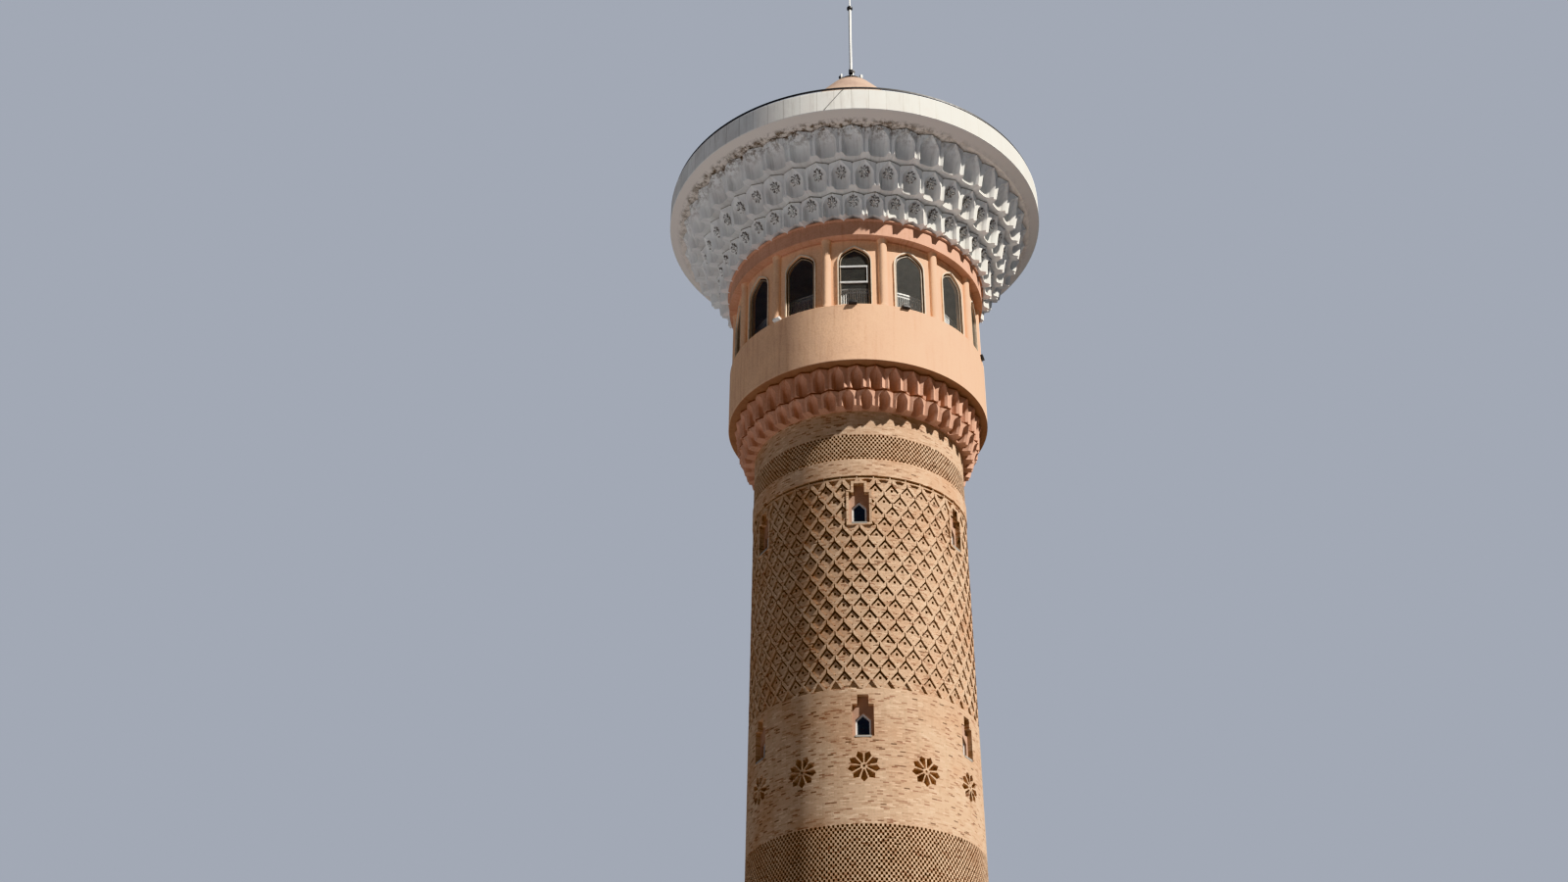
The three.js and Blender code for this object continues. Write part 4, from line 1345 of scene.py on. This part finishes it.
def build_strap(work):
    """A thin earthing strap, fixed to what it runs over, from the mast's foot to under the rim."""
    drum = LANTERN_RADIUS + 0.02 * M
    upstand = RIM_RADIUS - RIM_WALL - 0.02 * M
    route = [  # distance from the axis, height, degrees of azimuth
        (0.16 * M, CAP_TOP + 0.06 * M, 0), (CAP_RADIUS, CAP_TOP, 0),
        (EAVES_RADIUS, LANTERN_TOP + 0.18 * M, -1), (EAVES_RADIUS + 0.02 * M, LANTERN_TOP, -1),
        (drum, LANTERN_TOP - 0.05 * M, -1), (drum, DECK + 0.02 * M, -1),
        (8.8 * M, DECK + 0.02 * M, -2), (upstand, DECK + 0.36 * M, -2),
        (upstand, RIM_TOP + 0.01 * M, -2.3), (RIM_RADIUS - 0.04 * M, RIM_TOP + 0.015 * M, -2.3),
        (RIM_RADIUS, RIM_TOP - 0.1 * M, -2.8), (RIM_RADIUS, SOFFIT + 0.04 * M, -7.9),
    ]
    curve = bpy.data.curves.new("strap_route", "CURVE")
    curve.dimensions = "3D"
    curve.bevel_depth = 0.022 * M
    curve.bevel_resolution = 1
    curve.use_fill_caps = True
    spline = curve.splines.new("POLY")
    spline.points.add(len(route) - 1)
    for point, (reach, height, degrees) in zip(spline.points, route):
        azimuth = math.radians(degrees)
        point.co = (reach * math.sin(azimuth), -reach * math.cos(azimuth), height, 1)
    holder = bpy.data.objects.new("strap_route", curve)
    bpy.context.scene.collection.objects.link(holder)
    mesh = bpy.data.meshes.new_from_object(holder.evaluated_get(bpy.context.evaluated_depsgraph_get()))
    bpy.data.objects.remove(holder)
    bm = bmesh.new()
    bm.from_mesh(mesh)
    bpy.data.meshes.remove(mesh)
    bmesh.ops.remove_doubles(bm, verts=bm.verts, dist=1e-6)
    add_piece("earth_strap", bm, work.dark_metal, ["crown_rim"])


def dress_inner_nodes(work):
    """Gives the CAD pieces that stay their finish."""
    for node in ("gallery_floor", "gallery_kerb", "gallery_ceiling"):
        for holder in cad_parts[node].material_slots:
            holder.material = work.concrete


# Stage

KEY_TINT = (1, 0.94, 0.84)
KEY_SPREAD = math.radians(1.5)
BOUNCE_TINT = (1, 0.935, 0.94)
BOUNCE_SPREAD = math.radians(70)
BOUNCE_AZIMUTH = math.radians(-42)
BOUNCE_HEIGHT = math.radians(-52)
FLOOR_RADIUS = 120
SENSOR_WIDTH = 36  # millimetres


def add_lamp(name, power, tint, spread, azimuth, height):
    """A distant light from that azimuth and height above the horizon."""
    light = bpy.data.lights.new(name, "SUN")
    light.energy = power
    light.color = tint
    light.angle = spread
    lamp = bpy.data.objects.new(name, light)
    bpy.context.scene.collection.objects.link(lamp)
    lamp.rotation_euler = (TURN / 4 - height, 0, azimuth)


def build_stage(settings):
    floor = bmesh.new()
    bmesh.ops.create_circle(floor, cap_ends=True, radius=FLOOR_RADIUS, segments=96)
    ground = to_object(floor, "studio_floor")
    finish = Finish("studio_floor", 0.9)
    clouds = finish.noise(0.4, 3, 0.5)
    darker = tuple(channel * 0.96 for channel in settings.floor[:3]) + (1,)
    finish.colour(finish.blend(clouds, tuple(settings.floor), darker))
    ground.data.materials.append(finish.material)
    ground.visible_diffuse = False
    ground.visible_shadow = False

    world = bpy.data.worlds.new("studio")
    world.use_nodes = True
    backdrop = world.node_tree.nodes["Background"]
    backdrop.inputs["Color"].default_value = settings.backdrop
    seen = world.node_tree.nodes.new("ShaderNodeLightPath").outputs["Is Camera Ray"]
    share = world.node_tree.nodes.new("ShaderNodeMapRange")
    share.inputs["To Min"].default_value = settings.sky_strength
    share.inputs["To Max"].default_value = settings.backdrop_strength
    world.node_tree.links.new(seen, share.inputs["Value"])
    world.node_tree.links.new(share.outputs[0], backdrop.inputs["Strength"])
    bpy.context.scene.world = world

    add_lamp("key", settings.sun_strength, KEY_TINT, KEY_SPREAD, settings.sun_azimuth,
             settings.sun_height)
    add_lamp("bounce", settings.bounce_strength, BOUNCE_TINT, BOUNCE_SPREAD, BOUNCE_AZIMUTH,
             BOUNCE_HEIGHT)
    bpy.context.scene.view_settings.view_transform = "Khronos PBR Neutral"

    lens = bpy.data.cameras.new("camera")
    lens.lens = settings.lens
    lens.sensor_width = SENSOR_WIDTH
    lens.clip_start = 0.01
    lens.clip_end = 500
    camera = bpy.data.objects.new("camera", lens)
    bpy.context.scene.collection.objects.link(camera)
    turn = (Matrix.Rotation(settings.heading, 4, "Z")
            @ Matrix.Rotation(TURN / 4 + settings.pitch, 4, "X")
            @ Matrix.Rotation(settings.roll, 4, "Z"))
    camera.matrix_world = Matrix.Translation((0, -settings.distance, settings.eye_height)) @ turn
    bpy.context.scene.camera = camera


# Finishes shared by the operators

class Work:
    """The settings and the finishes, made once for a scene."""

    made = None

    def __init__(self, scene):
        self.sizes = scene.minaret_brickwork
        self.plaster = scene.minaret_plaster
        self.bricks = brickwork(self.sizes)
        self.pale_bricks = brickwork(self.sizes, "pale_brickwork", 1.08)
        self.render = stonework("window_render", (0.5, 0.33, 0.25, 1), (0.38, 0.24, 0.18, 1))
        self.concrete = stonework("concrete", (0.46, 0.44, 0.4, 1), (0.3, 0.28, 0.26, 1))
        self.peach = peach_plaster("peach_plaster", self.plaster.peach, self.plaster.peach_worn)
        # Darker peach: dirtier paint and painted shade together.
        self.dirty_and_shaded_peach = peach_plaster("dirty_and_shaded_peach_plaster", self.plaster.dirty_and_shaded_peach,
                                        self.plaster.dirty_and_shaded_peach_worn)
        self.cap_plaster = peach_plaster("cap_plaster", self.plaster.cap, self.plaster.cap_worn)
        self.stained_white = white_plaster(self.plaster, "niche_white_plaster")
        self.rim_white = white_plaster(self.plaster, "rim_white_plaster", fascia_panels=72)
        # Dark plaster of the carving beds: soot and painted shade between the petals.
        self.soot_and_shade_white = stonework("soot_and_shade_white_plaster", (0.38, 0.36, 0.33, 1), (0.18, 0.17, 0.16, 1))
        self.white_metal = painted_metal("white_paint", (0.78, 0.79, 0.79, 1))
        self.cream = painted_metal("cream_paint", (0.78, 0.66, 0.53, 1), 0.6, 0)
        self.beige = painted_metal("beige_paint", (0.42, 0.35, 0.28, 1), 0.6, 0)
        self.dark_metal = painted_metal("dark_paint", (0.05, 0.05, 0.055, 1), 0.5, 0.4)
        self.dark_glass = window_glass("slit_glass", (0.06, 0.07, 0.085, 1), (0.1, 0.12, 0.12, 1), 0.1)
        self.gallery_glass = window_glass("gallery_glass", (0.15, 0.155, 0.155, 1),
                                          (0.32, 0.33, 0.32, 1), 0.76)


def shared(context):
    if Work.made is None:
        Work.made = Work(context.scene)
    return Work.made


class MINARET_OT_foot(bpy.types.Operator):
    """Builds the steps, the foot wall and its portals"""

    bl_idname = "minaret.foot"
    bl_label = "Foot"

    def execute(self, context):
        build_foot(shared(context))
        return {"FINISHED"}


class MINARET_OT_shaft(bpy.types.Operator):
    """Builds the brick storeys, belts and neck of the shaft"""

    bl_idname = "minaret.shaft"
    bl_label = "Shaft"

    def execute(self, context):
        build_shaft(shared(context))
        return {"FINISHED"}


class MINARET_OT_slit_windows(bpy.types.Operator):
    """Builds the slit windows of the shaft"""

    bl_idname = "minaret.slit_windows"
    bl_label = "Slit Windows"

    def execute(self, context):
        build_slit_windows(shared(context))
        return {"FINISHED"}


class MINARET_OT_corbel(bpy.types.Operator):
    """Builds the two tiers of niches that carry the gallery"""

    bl_idname = "minaret.corbel"
    bl_label = "Corbel"

    def execute(self, context):
        build_corbel(shared(context))
        return {"FINISHED"}


class MINARET_OT_gallery(bpy.types.Operator):
    """Builds the parapet, walls, windows, pilasters and beam of the gallery"""

    bl_idname = "minaret.gallery"
    bl_label = "Gallery"

    def execute(self, context):
        build_gallery(shared(context))
        dress_inner_nodes(shared(context))
        return {"FINISHED"}


class MINARET_OT_crown(bpy.types.Operator):
    """Builds the three tiers of niches and the rim"""

    bl_idname = "minaret.crown"
    bl_label = "Crown"

    def execute(self, context):
        build_crown(shared(context))
        return {"FINISHED"}


class MINARET_OT_roof(bpy.types.Operator):
    """Builds the terrace, the lantern, the mast and the small fittings"""

    bl_idname = "minaret.roof"
    bl_label = "Roof"

    def execute(self, context):
        build_roof(shared(context))
        return {"FINISHED"}


class MINARET_OT_stage(bpy.types.Operator):
    """Sets up the floor, the light and the camera"""

    bl_idname = "minaret.stage"
    bl_label = "Stage"

    def execute(self, context):
        build_stage(context.scene.minaret_stage)
        return {"FINISHED"}


OPERATORS = (MINARET_OT_foot, MINARET_OT_shaft, MINARET_OT_slit_windows, MINARET_OT_corbel,
             MINARET_OT_gallery, MINARET_OT_crown, MINARET_OT_roof, MINARET_OT_stage)


class MINARET_PT_panel(bpy.types.Panel):
    """Lists the settings and the steps"""

    bl_idname = "MINARET_PT_panel"
    bl_label = "Minaret"
    bl_space_type = "VIEW_3D"
    bl_region_type = "UI"
    bl_category = "Minaret"

    def draw(self, context):
        for group in GROUPS:
            settings = getattr(context.scene, group)
            for key in settings.bl_rna.properties.keys():
                if key not in ("rna_type", "name"):
                    self.layout.prop(settings, key)
        for operator in OPERATORS:
            self.layout.operator(operator.bl_idname)


GROUPS = {
    "minaret_brickwork": MINARET_PG_brickwork,
    "minaret_plaster": MINARET_PG_plaster,
    "minaret_stage": MINARET_PG_stage,
}


def register():
    for group in GROUPS.values():
        bpy.utils.register_class(group)
    for key, group in GROUPS.items():
        setattr(bpy.types.Scene, key, PointerProperty(type=group))
    for operator in OPERATORS:
        bpy.utils.register_class(operator)
    bpy.utils.register_class(MINARET_PT_panel)


def unregister():
    bpy.utils.unregister_class(MINARET_PT_panel)
    for operator in reversed(OPERATORS):
        bpy.utils.unregister_class(operator)
    for key, group in reversed(GROUPS.items()):
        delattr(bpy.types.Scene, key)
        bpy.utils.unregister_class(group)


def main():
    register()
    bpy.ops.minaret.stage()
    bpy.ops.minaret.foot()
    bpy.ops.minaret.shaft()
    bpy.ops.minaret.slit_windows()
    bpy.ops.minaret.corbel()
    bpy.ops.minaret.gallery()
    bpy.ops.minaret.crown()
    bpy.ops.minaret.roof()
    bpy.context.view_layer.update()


if __name__ == "__main__":
    main()
